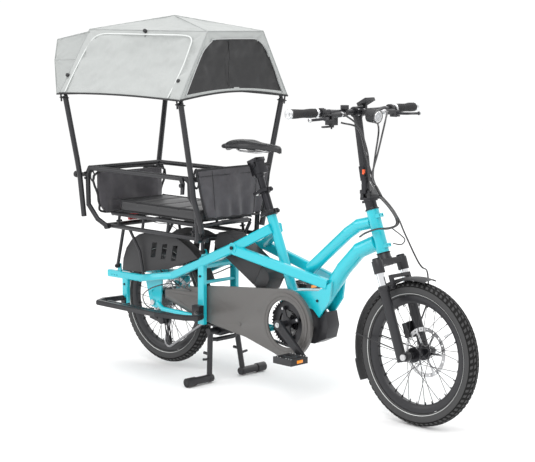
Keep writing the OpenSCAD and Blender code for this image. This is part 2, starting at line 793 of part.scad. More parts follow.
module passenger_rails() {
    color(black) {
        both() {
            run(hoop_path, hoop_r);
            // sockets on the rack rail
            for (x = [-196, 352]) y_rod(x, low_rail_z, 148, 168, 12);
            // stub with a ball end behind the hoop
            rod([-276, hoop_y, 784], [-350, hoop_y, 780], hoop_r - 1);
            translate([-352, hoop_y, 780]) sphere(r = hoop_r + 3);
            for (z = [770, 792]) y_rod(-280, z, 196, 206, 5);
        }
        cross_rod(-266, 812, hoop_y, hoop_r);
        cross_rod(326, 806, hoop_y, hoop_r);
    }
    // spring latch at the front of each hoop
    color(silver) both() plate(199, 206) polygon(latch_outline);
    color(black) both() y_rod(308, 786, 196, 212, 8);
}
// Upright panel across the bicycle, its rear face at x
module panel(x, thickness, outline) {
    translate([x, 0, 0]) rotate([90, 0, 90]) linear_extrude(thickness) polygon(outline);
}
module front_panel() { color(dark) panel(380, 12, front_panel_outline); }
module rear_panel() { color(dark) panel(-250, 26, rear_panel_outline); }
module rear_light() {
    color(light_red) translate([-214, -34, 588]) difference() {
        cube([14, 68, 30]);
        box([10, 20, 8], [8, 28, 14]);
    }
}

// ---- canopy ----
hem_back = -330;
hem_front = 392;
hem_y = 292;
roof_back = -308;
roof_front = 394;
roof_y = 150;
fabric_t = 4;
hood_narrow_z = 1360;     // hood corners above this height are set closer together

module canopy_poles() {
    rear_top = [hem_back + 14, hem_y - 18, hem_z - 10];
    front_top = [hem_front - 14, hem_y - 20, hem_z - 10];
    color(black) both() {
        run([rear_top, [-304, 226, 850], [-302, 214, 780], [-300, 196, 610]], pole_r);
        run([front_top, [366, 206, 812], [366, 196, 740], [378, 172, 640], [378, 164, 606]],
            pole_r);
        rod(rear_top, [roof_back + 14, roof_y - 4, roof_z - 22], pole_r - 4);
        rod(front_top, [roof_front - 16, roof_y - 4, roof_z - 22], pole_r - 4);
    }
}
// Tiny diamond at a hull corner
module corner(x, y, z) {
    translate([x, y, z]) cylinder(r = 0.5, h = 1, center = true, $fn = 4);
}
// Main tent with a low peak, drawn in by inset
module shell(inset) {
    hull() {
        for (side = [-1, 1]) {
            for (x = [hem_back + inset, hem_front - inset])
                corner(x, side * (hem_y - inset), hem_z);
            for (x = [roof_back + inset, roof_front - inset])
                corner(x, side * (roof_y - inset), roof_z - inset);
        }
        translate([45, 0, roof_z + 60 - inset])
            cylinder(r = 8, h = 1, center = true, $fn = 12);
    }
}
// Box-like bulge behind the tent
module hood(inset) {
    // [x, z]
    outline = [
        [-300, roof_z - 8 - inset], [-478 + inset, roof_z - 42 - inset],
        [-492 + inset, roof_z - 130], [-482 + inset, hem_z - 14], [-300, hem_z - 4]];
    hull() for (side = [-1, 1], p = outline)
        corner(p.x, side * ((p.y > hood_narrow_z ? 160 : 196) - inset), p.y);
}
module canopy() {
    color(canopy_grey) difference() {
        union() {
            shell(0);
            hood(0);
        }
        shell(fabric_t);
        hood(fabric_t);
        // opens the underside
        box([-600, -400, hem_z - 30], [1200, 800, 31]);
    }
}

// ---- stand ----
stand_at = [330, 200];    // leg pivot, [x, z]
foot_x = 345;
foot_z = 18;
stand_cheek = [
    [304, 224], [300, 196], [316, 180], [346, 180], [420, 206],
    [486, 222], [486, 230.6], [350, 230.6], [340, 222]];

module stand_bracket() {
    color(black) difference() {
        union() {
            box([304, -62, 219.4], [186, 124, 6]);
            both() plate(26, 34) polygon(stand_cheek);
        }
        cross_rod(stand_at.x, stand_at.y, 60, 8.1);
    }
    // block the lower chain run slides over
    color(black) {
        plate(chain_y - 4, chain_y + 4) intersection() {
            translate(idler_at) circle(r = 19);
            translate(idler_at + [-30, -8]) square([60, 40]);
        }
        plate(-46.5, -39.6) translate(idler_at + [-12, -8]) square([24, 14]);
    }
    // hexagonal heads under the bracket plate
    color(black) for (y = [-48, 48]) peg([370, y, 213], 6, 6.6, $fn = 6);
}
module stand_legs() {
    color(black) {
        cross_rod(stand_at.x, stand_at.y, 82, 8);
        both() {
            y_rod(stand_at.x, stand_at.y, 36, 84, 13);
            run([[stand_at.x, 72, stand_at.y], [332, 76, 160], [foot_x, 92, 20]], 11);
            rod([332, 76, 170], [338, 44, 166], 8);
            // foot with two thicker bands
            y_rod(foot_x, foot_z, 78, 214, 15);
            y_rod(foot_x, foot_z, 84, 100, 16.4);
            y_rod(foot_x, foot_z, 170, 214, 17.9);
            // short pegs on the leg
            rod([340, 84, 92], [340, 120, 96], 5);
            rod([340, 82, 110], [304, 82, 112], 6);
        }
        cross_rod(338, 166, 46, 9);
    }
}

// ---- seat: heights run up the seat tube axis from its top ----
mid_top = 108;            // top of the middle post
// Clamps: [height, outer radius, length, bore radius]
seat_clamp = [0.4, 25, 20, 19.2];
post_clamp = [mid_top - 20, 22, 19, 15.9];

// Blade through upright discs; each station is [base point, radius, height]
module blade(stations) {
    for (i = [0:len(stations) - 2]) hull() for (station = [stations[i], stations[i + 1]])
        peg(station[0], station[1], station[2], $fn = 32);
}
module qr_collar(clamp) {
    outer_r = clamp[1];
    length = clamp[2];
    bore_r = clamp[3];
    seat_at(clamp[0]) difference() {
        union() {
            cylinder(r = outer_r, h = length);
            box([outer_r - 5, -11, 1], [16, 22, length - 2]);
        }
        peg([0, 0, -1], bore_r, length + 2);
        box([bore_r - 6, -1.5, -1], [30, 3, length + 2]);
        y_rod(outer_r + 4, length / 2, -40, 40, 2.7);
    }
    // skewer and nut
    seat_at(clamp[0]) translate([outer_r + 4, 0, length / 2]) {
        y_rod(0, 0, -11.4, 15.2, 2.6);
        y_rod(0, 0, 11.2, 17, 6);
    }
}
module qr_lever(clamp) {
    seat_at(clamp[0]) translate([clamp[1] + 4, -18, clamp[2] / 2]) {
        peg([0, 0, -6], 6.4, 12);
        blade([[[0, -1, -4], 5, 8], [[-16, -9, -5], 3, 10], [[-54, -13, -7], 2.5, 12]]);
    }
}
module seat_collar() { color(black) qr_collar(seat_clamp); }
module seat_qr_lever() { color(black) qr_lever(seat_clamp); }
module seatpost_mid() {
    color(black) {
        seat_at(-190) difference() {
            cylinder(r = 16, h = 190 + mid_top);
            peg([0, 0, -1], 13.1, 400);
        }
        qr_collar(post_clamp);
    }
}
module post_qr_lever() { color(black) qr_lever(post_clamp); }
module seatpost_top() {
    color(black) {
        seat_at(-60) cylinder(r = 13, h = 60 + mid_top + 50);
        // head under the saddle
        seat_at(mid_top + 46) {
            cylinder(r = 18, h = 20);
            box([-22, -20, 12], [46, 40, 52]);
            box([-24, -24, 58], [50, 48, 16]);
            y_rod(2, 50, -25, 25, 11);
        }
    }
}
module saddle_ball(x, y, z, radius = 17) {
    translate([x, y, z]) sphere(r = radius, $fn = 18);
}
module saddle() {
    color(black) difference() {
        union() {
            // wide rear part
            hull() for (side = [-1, 1]) {
                saddle_ball(400, side * 58, 944);
                saddle_ball(450, side * 44, 948);
            }
            // nose
            hull() {
                for (side = [-1, 1]) saddle_ball(450, side * 30, 947);
                saddle_ball(624, 0, 934, 15);
            }
        }
        // flat underside
        box([350, -100, 900], [320, 200, 28]);
    }
    // rails
    color(silver) both()
        run([[426, 30, 940], [440, 22, 918.5], [540, 22, 918.5], [600, 6, 938]], 3.5, $fn = 16);
}

// ---- fork: heights run up the steering axis from the head tube's lower end ----
stanchion_r = 14;
steerer_bore_r = 14.2;
caliper_up = hub_up + 92;

module fork_crown() {
    color(black) {
        steer_at(-14) cylinder(r = 14.3, h = 190);
        steer_at(-24) cylinder(r = 24, h = 23.5);
        difference() {
            union() {
                steer_at(-46) {
                    cylinder(r = 26, h = 30);
                    box([-16, -50, 2], [46, 100, 22]);
                }
                both() leg_at(-70) cylinder(r = 20, h = 46);
                both() leg_at(-24.5) cylinder(r = 16, h = 6);
            }
            both() leg_at(-80) cylinder(r = stanchion_r + 0.2, h = 50);
        }
    }
    // headset race above the head tube
    color(silver) steer_at(head_len + 0.3) difference() {
        cylinder(r = 22, h = 9);
        peg([0, 0, -1], steerer_bore_r, 12);
    }
}
module stanchions() {
    color(silver) both() leg_at(-262) cylinder(r = stanchion_r, h = 230);
}
module fork_lowers() {
    color(black) difference() {
        union() {
            both() {
                leg_at(hub_up - 14) cylinder(r = 18, h = 14 - hub_up - 122);
                leg_at(-134) cylinder(r = 20, h = 10);
                // axle lug
                leg_at(hub_up) box([0, -9, -15], [hub_ahead - leg_ahead, 18, 30]);
                y_rod(front_axle_at.x, front_axle_at.z, leg_y - 10, leg_y + 10, 17);
            }
            // brace over the wheel, ahead of the crown
            steer_at(0, leg_ahead) both() {
                box([0, 42, -134], [36, 20, 10]);
                box([24, 40, -134], [12, 14, 50]);
                box([24, -1, -97], [12, 55, 13]);
            }
            // caliper mount behind the left leg
            leg_at(caliper_up) box([-44, -8, -30], [36, 8, 60]);
        }
        both() leg_at(-308) cylinder(r = stanchion_r + 0.1, h = 208);
        cross_rod(front_axle_at.x, front_axle_at.z, 100, 7.7);
        for (z = [-22, 22]) leg_at(caliper_up) y_rod(-32, z, -20, 10, 3);
    }
}
module front_caliper() {
    color(black) leg_at(caliper_up) difference() {
        box([-45, -34, -27], [24, 25.8, 54]);
        // rotor slot
        box([-60, -29.4, -40], [60, 5, 80]);
    }
}

// ---- folding handlepost ----
base_top = steer_point(204);      // hinge level on the steering axis
hinge_y = 27;                     // hinge line to the left of the post
hinge_z = 4.5;                    // hinge line above the hinge level
lever_pin = [-22, 24];            // fold lever pin, [y, z] from the hinge level
bar_x = 1020;                     // handlebar centre
bar_z = 1096;
bar_bore_r = bar_r + 0.06;

module at_hinge() { translate(base_top) children(); }
module at_bar() { translate([bar_x, 0, bar_z]) children(); }
// Fold lever pin or its bore, along x
module lever_pin_rod(x, length, radius) {
    x_rod([x, lever_pin[0], lever_pin[1]], length, radius);
}
module post_base() {
    color(black) difference() {
        union() {
            steer_at(170.8) cylinder(r = 21, h = 26);
            steer_at(192) box([-20, -22, 0], [40, 44, 8]);
            at_hinge() box([-24, -24, -6], [48, 48, 10]);
        }
        steer_at(168) cylinder(r = 14.5, h = 18);
        steer_at(181) x_rod([-40, 0, 0], 30, 3);
        at_hinge() box([-30, 18, -20], [60, 30, 60]);
    }
    // middle hinge knuckle
    color(black) at_hinge() difference() {
        union() {
            box([-9.8, 12, -6], [19.6, 15, 9]);
            x_rod([-9.8, hinge_y, hinge_z], 19.6, 6.5);
        }
        x_rod([-20, hinge_y, hinge_z], 40, 3.1);
    }
}
module handlepost() {
    color(black) {
        difference() {
            union() {
                at_hinge() {
                    // hinge block above the base
                    box([-23, -24, 4.4], [46, 40.8, 12]);
                    hull() {
                        box([-20, -20, 14], [40, 37, 2]);
                        translate([-17, 0, 50]) rotate([0, -8, 0]) cylinder(r = 17, h = 2);
                    }
                    // outer hinge knuckles
                    for (x = [-23, 10.2]) {
                        box([x, 12, 4.4], [12.8, 15, 7]);
                        x_rod([x, hinge_y, hinge_z], 12.8, 6.5);
                    }
                }
                rod(base_top + [-17, 0, 48], [bar_x + 2, 0, bar_z - 22], 15.5);
            }
            at_hinge() {
                // hinge pin bore
                x_rod([-30, hinge_y, hinge_z], 60, 3.02);
                // fold lever recess and its pin bore on the right side
                box([-9, -40, 4], [18, 25, 34]);
                lever_pin_rod(-30, 60, 2.6);
            }
        }
        at_hinge() {
            // cheeks beside the fold lever
            for (x = [-23, 9.3]) difference() {
                box([x, -27, 17], [13.7, 14, 14]);
                lever_pin_rod(-30, 60, 2.6);
            }
            // hinge pin
            x_rod([-24, hinge_y, hinge_z], 48, 3);
        }
        // clamp round the handlebar
        at_bar() difference() {
            union() {
                cross_rod(0, 0, 22, 19);
                rod([2, 0, -24], [0, 0, -12], 17);
                box([10, -22, -9], [16, 44, 18]);
            }
            cross_rod(0, 0, 30, bar_bore_r);
            box([5, -30, -0.8], [30, 60, 1.6]);
            for (y = [-15, 15]) peg([19, y, -20], 2.5, 40);
        }
    }
}
module fold_lever() {
    color(black) at_hinge() {
        lever_pin_rod(-24, 48, 2.55);
        lever_pin_rod(-8.6, 17.2, 6.4);
        difference() {
            union() {
                box([-8.6, -32, 20], [17.2, 10, 60]);
                translate([-16, -33, 70]) rotate([2, -10, 0]) box([0, 0, -6], [22, 9, 52]);
            }
            // window for the catch
            box([-7, -35, 88], [9.4, 16, 18.4]);
        }
    }
}
module lever_catch() {
    color(catch_red) at_hinge() box([-6.6, -34.6, 88.4], [8.6, 7, 17.6]);
}

// ---- handlebar and controls ----
// Left half of the bar, from its end inward
bar_end = [bar_x - 14, bar_w / 2 - 2, bar_z + 4];
bar_bend = [bar_x - 2, 150, bar_z + 3];
bar_side = [bar_end, bar_bend, [bar_x, 109, bar_z]];
grip_dir = (bar_end - bar_bend) / norm(bar_end - bar_bend);
// Point on the left half, measured inward from the bar end
function grip_point(inward) = bar_end - inward * grip_dir;
lever_at = [bar_x + 24, 186, bar_z - 12];   // left brake lever pivot, ahead of the bar
paddle_y = -lever_at.y + 50;

module grip_rod(from, to, radius) { rod(grip_point(from), grip_point(to), radius); }
module sleeve(from, to, radius, bore_from, bore_to) {
    difference() {
        grip_rod(from, to, radius);
        grip_rod(bore_from, bore_to, bar_bore_r);
    }
}
module handlebar() {
    color(black) run(
        [for (p = bar_side) [p.x, -p.y, p.z], for (i = [2:-1:0]) bar_side[i]], bar_r);
}
module grips() {
    color(black) both() sleeve(126, 8, 16, 140, -10);
    // end caps and inner rings
    color(silver) both() sleeve(7.9, -5, 17, 20, -0.5);
    color(silver) both() sleeve(136, 126.2, 17, 150, 110);
}
module controls() {
    color(black) {
        // brake lever mounts
        both() difference() {
            union() {
                grip_rod(166, 150, 17);
                translate(lever_at) {
                    box([-22, -22, -5], [13.6, 24, 22]);
                    box([-9, -24, -12], [20, 34, 5.8]);
                    box([-9, -24, 6.2], [20, 34, 5.8]);
                    box([-9, -24, -12], [20, 12, 24]);
                    rod([2, -66, 8], [2, -14, 6], 9.5);
                }
            }
            grip_rod(200, 120, bar_bore_r);
            translate(lever_at) peg([0, 0, -20], 3.05, 40);
        }
        // shifter pod under the right side of the bar
        at_bar() difference() {
            box([-20, paddle_y - 14, -42], [34, 30, 40]);
            y_rod(0, 1.5, -300, 0, bar_r + 3);
            peg([-2, paddle_y, -60], 3.05, 30);
        }
        // round bell nearer the middle
        at_bar() difference() {
            union() {
                y_rod(0, 0, -78, -66, 16);
                peg([2, -72, 12], 15, 14);
            }
            y_rod(0, 0, -90, -50, bar_bore_r);
        }
    }
}
module brake_lever() {
    translate(lever_at) {
        peg([0, 0, -6], 8, 12);
        peg([0, 0, -14], 3, 28);
        blade([[[3, 4, -5], 6, 9], [[24, 30, -6], 5, 9], [[20, 106, -8], 5, 8]]);
        translate([19, 110, -4]) sphere(r = 7.5);
    }
}
module brake_lever_right() { color(black) mirror([0, 1, 0]) brake_lever(); }
module brake_lever_left() { color(black) brake_lever(); }
module shift_paddle() {
    color(black) translate([bar_x - 2, paddle_y, bar_z - 56]) {
        cylinder(r = 3, h = 24);
        peg([0, 0, 6], 9, 7.6);
        box([-6, -46, 6], [12, 44, 6]);
    }
}
module display() {
    color(black) at_bar() difference() {
        union() {
            translate([6, 34, 27]) rotate([0, -28, 0]) box([-18, -24, 0], [46, 52, 12]);
            y_rod(0, 0, 30, 42, 16);
            box([-5, 31, 10], [16, 10, 20]);
        }
        y_rod(0, 0, 20, 50, bar_bore_r);
    }
}
module headlight() {
    color(black) at_bar() difference() {
        union() {
            translate([62, 0, -10]) rotate([0, 96, 0]) peg([0, 0, -4], 25, 38);
            box([26.4, -9, -9], [40, 18, 16]);
        }
        translate([62, 0, -10]) rotate([0, 96, 0]) peg([0, 0, 28], 21, 20);
    }
}

frame();
motor();
battery();
chain_guard();
foot_boards();
rack();
cushion();
passenger_rails();
front_panel();
rear_panel();
canopy_poles();
canopy();
wheel_guards();
rear_fender();
rear_light();
stand_bracket();
stand_legs();
seat_collar();
seat_qr_lever();
seatpost_mid();
post_qr_lever();
seatpost_top();
saddle();
rear_axle();
rear_tyre();
rear_rim();
rear_hub();
rear_rotor();
cassette();
derailleur_body();
derailleur_cage();
guide_pulley();
tension_pulley();
chain();
crankset();
chainring();
pedal_right();
pedal_left();
fork_crown();
stanchions();
fork_lowers();
front_fender();
front_axle();
front_tyre();
front_rim();
front_hub();
front_rotor();
front_caliper();
post_base();
handlepost();
fold_lever();
lever_catch();
handlebar();
grips();
controls();
brake_lever_right();
brake_lever_left();
shift_paddle();
display();
headlight();
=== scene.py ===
# Electric cargo bike with small wheels and a cloth canopy over its passenger bay.
# Metres throughout, unless a table says millimetres. +X is forward, +Y the rider's left and
# +Z up. The rear axle is at x = 0 and the ground at z = 0.
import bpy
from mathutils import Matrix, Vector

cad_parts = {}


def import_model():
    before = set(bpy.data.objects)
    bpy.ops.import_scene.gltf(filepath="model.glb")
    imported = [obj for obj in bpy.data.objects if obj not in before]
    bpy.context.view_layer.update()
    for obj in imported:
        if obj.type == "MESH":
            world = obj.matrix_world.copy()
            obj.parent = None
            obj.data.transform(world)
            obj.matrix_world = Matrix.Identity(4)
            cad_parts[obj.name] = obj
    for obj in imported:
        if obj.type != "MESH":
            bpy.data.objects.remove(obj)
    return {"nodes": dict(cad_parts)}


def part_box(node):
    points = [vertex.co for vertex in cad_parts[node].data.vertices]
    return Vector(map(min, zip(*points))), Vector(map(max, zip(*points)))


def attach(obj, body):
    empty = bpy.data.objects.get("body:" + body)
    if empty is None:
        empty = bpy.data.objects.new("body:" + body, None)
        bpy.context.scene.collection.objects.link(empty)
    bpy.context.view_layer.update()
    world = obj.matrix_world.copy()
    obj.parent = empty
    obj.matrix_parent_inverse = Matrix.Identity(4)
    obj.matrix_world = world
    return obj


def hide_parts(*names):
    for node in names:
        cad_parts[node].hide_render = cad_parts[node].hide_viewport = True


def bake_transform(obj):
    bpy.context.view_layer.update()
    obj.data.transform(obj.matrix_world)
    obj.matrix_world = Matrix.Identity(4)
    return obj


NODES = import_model()["nodes"]
import bpy
import bmesh
import math
import numpy as np
from mathutils import Vector, Matrix, noise

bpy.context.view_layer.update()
SCENE = bpy.context.scene
SIDES = (-1, 1)  # right, left

# ---------------------------------------------------------------- materials
WEAVE_SCALE = 160
WEAVE_DISTORTION = 0.6
WEAVE_DEPTH = 0.0004


def material(name, colour, rough, metal=0.0, coat=0.0, grain=900, bump=0.3, depth=0.0004,
             vary=0.05, weave=0.0, alpha=1.0, emit=0.0, trans=0.0, back=None, sheen=0.0,
             spec=0.5):
    """Principled material with noise of scale `grain` driving relief and colour variation.
    `weave` adds crossed thread relief and `back` gives back faces their own colour."""
    made = bpy.data.materials.new(name)
    made.use_nodes = True
    tree = made.node_tree
    link = tree.links.new
    shader = tree.nodes["Principled BSDF"]

    def node(kind, **inputs):
        new = tree.nodes.new("ShaderNode" + kind)
        for label, value in inputs.items():
            new.inputs[label].default_value = value
        return new

    def relief(source, strength, distance, below):
        new = node("Bump", Strength=strength, Distance=distance)
        link(source.outputs["Fac"], new.inputs["Height"])
        if below:
            link(below.outputs["Normal"], new.inputs["Normal"])
        return new

    for label, value in {
            "Base Color": (*colour, 1), "Roughness": rough, "Metallic": metal,
            "Coat Weight": coat, "Coat Roughness": 0.08, "Specular IOR Level": spec,
            "Alpha": alpha, "Transmission Weight": trans, "Sheen Weight": sheen}.items():
        shader.inputs[label].default_value = value
    if emit:
        shader.inputs["Emission Color"].default_value = (*colour, 1)
        shader.inputs["Emission Strength"].default_value = emit

    place = node("TexCoord").outputs["Object"]
    grains = node("TexNoise", Scale=grain, Detail=4)
    link(place, grains.inputs["Vector"])
    normal = relief(grains, bump, depth, None) if bump else None
    ramp = node("ValToRGB")
    low, high = ramp.color_ramp.elements
    low.position = 0.3
    high.position = 0.7
    low.color = (*[c * (1 - vary) for c in colour], 1)
    high.color = (*[min(1, c * (1 + vary)) for c in colour], 1)
    link(grains.outputs["Fac"], ramp.inputs["Fac"])
    if weave:
        for direction in "XYZ":
            wave = node("TexWave", Scale=WEAVE_SCALE, Distortion=WEAVE_DISTORTION)
            wave.bands_direction = direction
            link(place, wave.inputs["Vector"])
            normal = relief(wave, weave, WEAVE_DEPTH, normal)
    if normal:
        link(normal.outputs["Normal"], shader.inputs["Normal"])
    shade = ramp.outputs["Color"]
    if back:
        geometry = node("NewGeometry")
        mix = node("Mix")
        mix.data_type = "RGBA"
        mix.inputs["A"].default_value = (*colour, 1)
        mix.inputs["B"].default_value = (*back, 1)
        link(shade, mix.inputs["A"])
        link(geometry.outputs["Backfacing"], mix.inputs["Factor"])
        shade = mix.outputs["Result"]
    link(shade, shader.inputs["Base Color"])
    made.diffuse_color = (*colour, 1)
    return made


# Key: name, colour, roughness, metallic, coat, noise scale, relief strength, relief depth,
# colour variation
FINISHES = {
    "frame": ("paint_turquoise", (0.008, 0.49, 0.58), 0.28, 0.0, 0.7, 900, 0.04, 0.0002, 0.03),
    "black": ("black_metal_satin", (0.022, 0.022, 0.025), 0.38, 0.3, 0.1, 700, 0.08, 0.0003, 0.1),
    "anod": ("black_anodised", (0.03, 0.03, 0.034), 0.3, 0.7, 0.0, 900, 0.05, 0.0002, 0.1),
    "plastic": ("black_plastic_grain", (0.024, 0.024, 0.026), 0.55, 0, 0, 1400, 0.25, 0.0003, 0.12),
    "guard": ("grey_guard_plastic", (0.105, 0.10, 0.096), 0.4, 0, 0.1, 1000, 0.12, 0.0003, 0.04),
    "tyre": ("tyre_rubber", (0.040, 0.040, 0.041), 0.66, 0.0, 0.0, 500, 0.25, 0.0005, 0.18),
    # Painted shade: the tread grooves get a near-black rubber, darker than the tyre, for the shade
    # that falls in them
    "groove": ("tyre_groove_painted_shade", (0.006, 0.006, 0.006), 0.9, 0.0, 0.0, 500, 0.2, 0.0004, 0.1),
    "stripe": ("reflective_stripe", (0.62, 0.63, 0.62), 0.35, 0.2, 0.0, 1500, 0.1, 0.0002, 0.05),
    "grip": ("grip_rubber", (0.02, 0.02, 0.021), 0.8, 0.0, 0.0, 1200, 0.4, 0.0004, 0.1),
    "steel": ("brushed_steel", (0.56, 0.56, 0.57), 0.3, 1.0, 0.0, 600, 0.1, 0.0002, 0.06),
    "alu": ("silver_aluminium", (0.70, 0.71, 0.72), 0.25, 1.0, 0.0, 700, 0.06, 0.0002, 0.04),
    "chrome": ("stanchion_chrome", (0.75, 0.76, 0.78), 0.1, 1.0, 0.0, 300, 0.02, 0.0001, 0.02),
    "canopy": ("canopy_grey_cloth", (0.40, 0.415, 0.408), 0.8, 0.0, 0.0, 14, 0.3, 0.005, 0.03),
    "film": ("window_film_smoke", (0.028, 0.028, 0.029), 0.35, 0.0, 0.1, 9, 0.35, 0.01, 0.12),
    "cloth": ("charcoal_cloth", (0.062, 0.059, 0.066), 0.8, 0.0, 0.0, 30, 0.3, 0.003, 0.12),
    "binding": ("black_binding", (0.016, 0.016, 0.018), 0.7, 0.0, 0.0, 900, 0.3, 0.0004, 0.1),
    "vinyl": ("black_vinyl", (0.020, 0.020, 0.022), 0.42, 0.0, 0.1, 700, 0.35, 0.0005, 0.1),
    "red": ("red_lens", (0.55, 0.012, 0.012), 0.15, 0.0, 0.5, 400, 0.1, 0.0003, 0.08),
    # Painted glow: the amber pedal reflectors get a small emission (see below), so they glow though
    # they are no lamp
    "amber": ("amber_reflector_painted_glow", (0.95, 0.30, 0.02), 0.2, 0.0, 0.5, 600, 0.5, 0.0004, 0.08),
    "orange": ("orange_catch", (0.80, 0.10, 0.02), 0.35, 0.0, 0.2, 500, 0.05, 0.0002, 0.03),
    "lens": ("clear_lens", (0.85, 0.87, 0.9), 0.05, 0.0, 0.6, 200, 0.05, 0.0002, 0.02),
    "glow": ("lamp_reflector", (0.8, 0.8, 0.8), 0.15, 0.9, 0.0, 300, 0.1, 0.0003, 0.04),
    "gloss": ("black_gloss", (0.012, 0.012, 0.014), 0.12, 0.0, 0.6, 300, 0.02, 0.0001, 0.05),
    "screen": ("screen_mark", (0.55, 0.6, 0.62), 0.4, 0.0, 0.0, 200, 0.02, 0.0001, 0.02),
    "tag": ("white_tag", (0.8, 0.8, 0.78), 0.7, 0.0, 0.0, 300, 0.2, 0.0003, 0.04),
    "chain": ("chain_steel", (0.32, 0.32, 0.33), 0.34, 1.0, 0.0, 900, 0.15, 0.0002, 0.12),
}
FINISH_EXTRAS = {
    "canopy": dict(weave=0.12, back=(0.10, 0.10, 0.105), sheen=0.15, spec=0.25),
    "film": dict(alpha=0.96, spec=0.3),
    "cloth": dict(weave=0.25, sheen=0.3, spec=0.3),
    "binding": dict(weave=0.3),
    # Painted glow on the amber reflectors, which are no lamp
    "amber": dict(emit=0.12),
    "lens": dict(trans=0.6),
    "screen": dict(emit=0.25),
}
MATERIALS = {key: material(*values, **FINISH_EXTRAS.get(key, {}))
             for key, values in FINISHES.items()}

# ---------------------------------------------------------------- CAD pieces
PIECES_BY_MATERIAL = {
    "frame": "frame",
    "black": "motor foot_boards rack passenger_rails canopy_poles stand_bracket stand_legs "
             "rear_rim derailleur_body derailleur_cage crankset chainring fork_crown "
             "fork_lowers front_rim front_caliper handlepost handlebar",
    "plastic": "battery wheel_guards rear_fender guide_pulley tension_pulley pedal_right "
               "pedal_left front_fender controls shift_paddle display headlight",
    "anod": "seat_collar seat_qr_lever seatpost_mid post_qr_lever seatpost_top rear_hub "
            "front_hub post_base fold_lever brake_lever_right brake_lever_left",
    "steel": "rear_axle rear_rotor cassette front_axle front_rotor",
    "guard": "chain_guard",
    "red": "rear_light",
    "chrome": "stanchions",
    "orange": "lever_catch",
    "canopy": "canopy",
    "cloth": "front_panel rear_panel",
    "vinyl": "cushion saddle",
    "tyre": "front_tyre rear_tyre",
    "chain": "chain",
    "grip": "grips",
}
PIECES_BY_BEVEL = {
    0.0006: "derailleur_cage",
    0.0008: "wheel_guards rack",
    0.0010: "stand_bracket lever_catch seat_collar brake_lever_left brake_lever_right",
    0.0012: "chain_guard post_base fold_lever headlight",
    0.0015: "derailleur_body crankset pedal_right pedal_left fork_lowers handlepost controls "
            "display front_caliper",
    0.0016: "frame",
    0.0020: "rear_light seatpost_top",
    0.0040: "motor battery",
    0.0060: "fork_crown",
}


def by_piece(groups):
    return {piece: value for value, pieces in groups.items() for piece in pieces.split()}


def dress_cad():
    """Give every CAD piece its material and split shading, and the pieces listed by bevel width
    softened edges.
    """
    finish = by_piece(PIECES_BY_MATERIAL)
    bevel_width = by_piece(PIECES_BY_BEVEL)
    for name, piece in NODES.items():
        piece.data.materials.clear()
        piece.data.materials.append(MATERIALS[finish[name]])
        shade_smooth(piece)
        weld = piece.modifiers.new("weld", "WELD")
        weld.merge_threshold = 0.00002
        if name in bevel_width:
            bevel = piece.modifiers.new("bevel", "BEVEL")
            bevel.width = bevel_width[name]
            bevel.segments = 2
            bevel.limit_method = "ANGLE"
            bevel.angle_limit = math.radians(48)
            bevel.use_clamp_overlap = True
            bevel.harden_normals = False
        split = piece.modifiers.new("split", "EDGE_SPLIT")
        split.split_angle = math.radians(38)


def shade_smooth(thing, smooth=True):
    polygons = thing.data.polygons
    polygons.foreach_set("use_smooth", [smooth] * len(polygons))


dress_cad()


# ---------------------------------------------------------------- mesh helpers
# A mesh is passed about as a pair: a list of points and a list of faces.
def vec(*values):
    return np.array(values, float)


def mm(*values):
    """Point given in millimetres."""
    return np.array(values, float) / 1000.0


def unit(vector):
    return vector / np.linalg.norm(vector)


def around(x, z, radius, angle, y=0.0):
    """Point on a circle about an axle that runs along Y."""
    return vec(x + radius * math.cos(angle), y, z + radius * math.sin(angle))


def turn(count):
    return np.linspace(0, 2 * math.pi, count, endpoint=False)


def across(axis, hint):
    """Two unit vectors square to the axis, the first one leaning to the hint."""
    first = unit(hint - axis * (hint @ axis))
    return first, np.cross(axis, first)


def noise_at(p, scale, seed):
    return noise.noise(Vector((p[0] * scale + seed, p[1] * scale - seed * 0.7,
                               p[2] * scale + seed * 1.3)))


def add_mesh(name, mesh, finish, body=None, smooth=True, sharp=None):
    points, faces = mesh
    data = bpy.data.meshes.new(name)
    data.from_pydata([tuple(map(float, p)) for p in points], [],
                     [tuple(int(i) for i in face) for face in faces])
    data.validate()
    data.update()
    made = bpy.data.objects.new(name, data)
    shade_smooth(made, smooth)
    if sharp:
        data.set_sharp_from_angle(angle=math.radians(sharp))
    SCENE.collection.objects.link(made)
    data.materials.append(MATERIALS[finish] if isinstance(finish, str) else finish)
    if body:
        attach(made, body)
    return made


def join(meshes):
    points, faces = [], []
    for part_points, part_faces in meshes:
        start = len(points)
        points.extend(part_points)
        faces.extend(tuple(i + start for i in face) for face in part_faces)
    return points, faces


def tube_faces(rings, count, closed=False):
    """Quads between rings of `count` points; `closed` joins the last ring to the first."""
    faces = []
    for j in range(rings if closed else rings - 1):
        here, there = j * count, (j + 1) % rings * count
        for i in range(count):
            k = (i + 1) % count
            faces.append((here + i, here + k, there + k, there + i))
    return faces


def capped_faces(rings, count):
    last = (rings - 1) * count
    ends = [tuple(range(count))[::-1], tuple(range(last, last + count))]
    return tube_faces(rings, count) + ends


def grid_faces(columns, rows):
    starts = [j * (columns + 1) + i for j in range(rows) for i in range(columns)]
    return [(a, a + 1, a + columns + 2, a + columns + 1) for a in starts]


def solid(first, second):
    """Closed solid between two matching outlines."""
    n = len(first)
    return first + second, [tuple(range(n))[::-1], tuple(range(n, 2 * n))] + tube_faces(2, n)


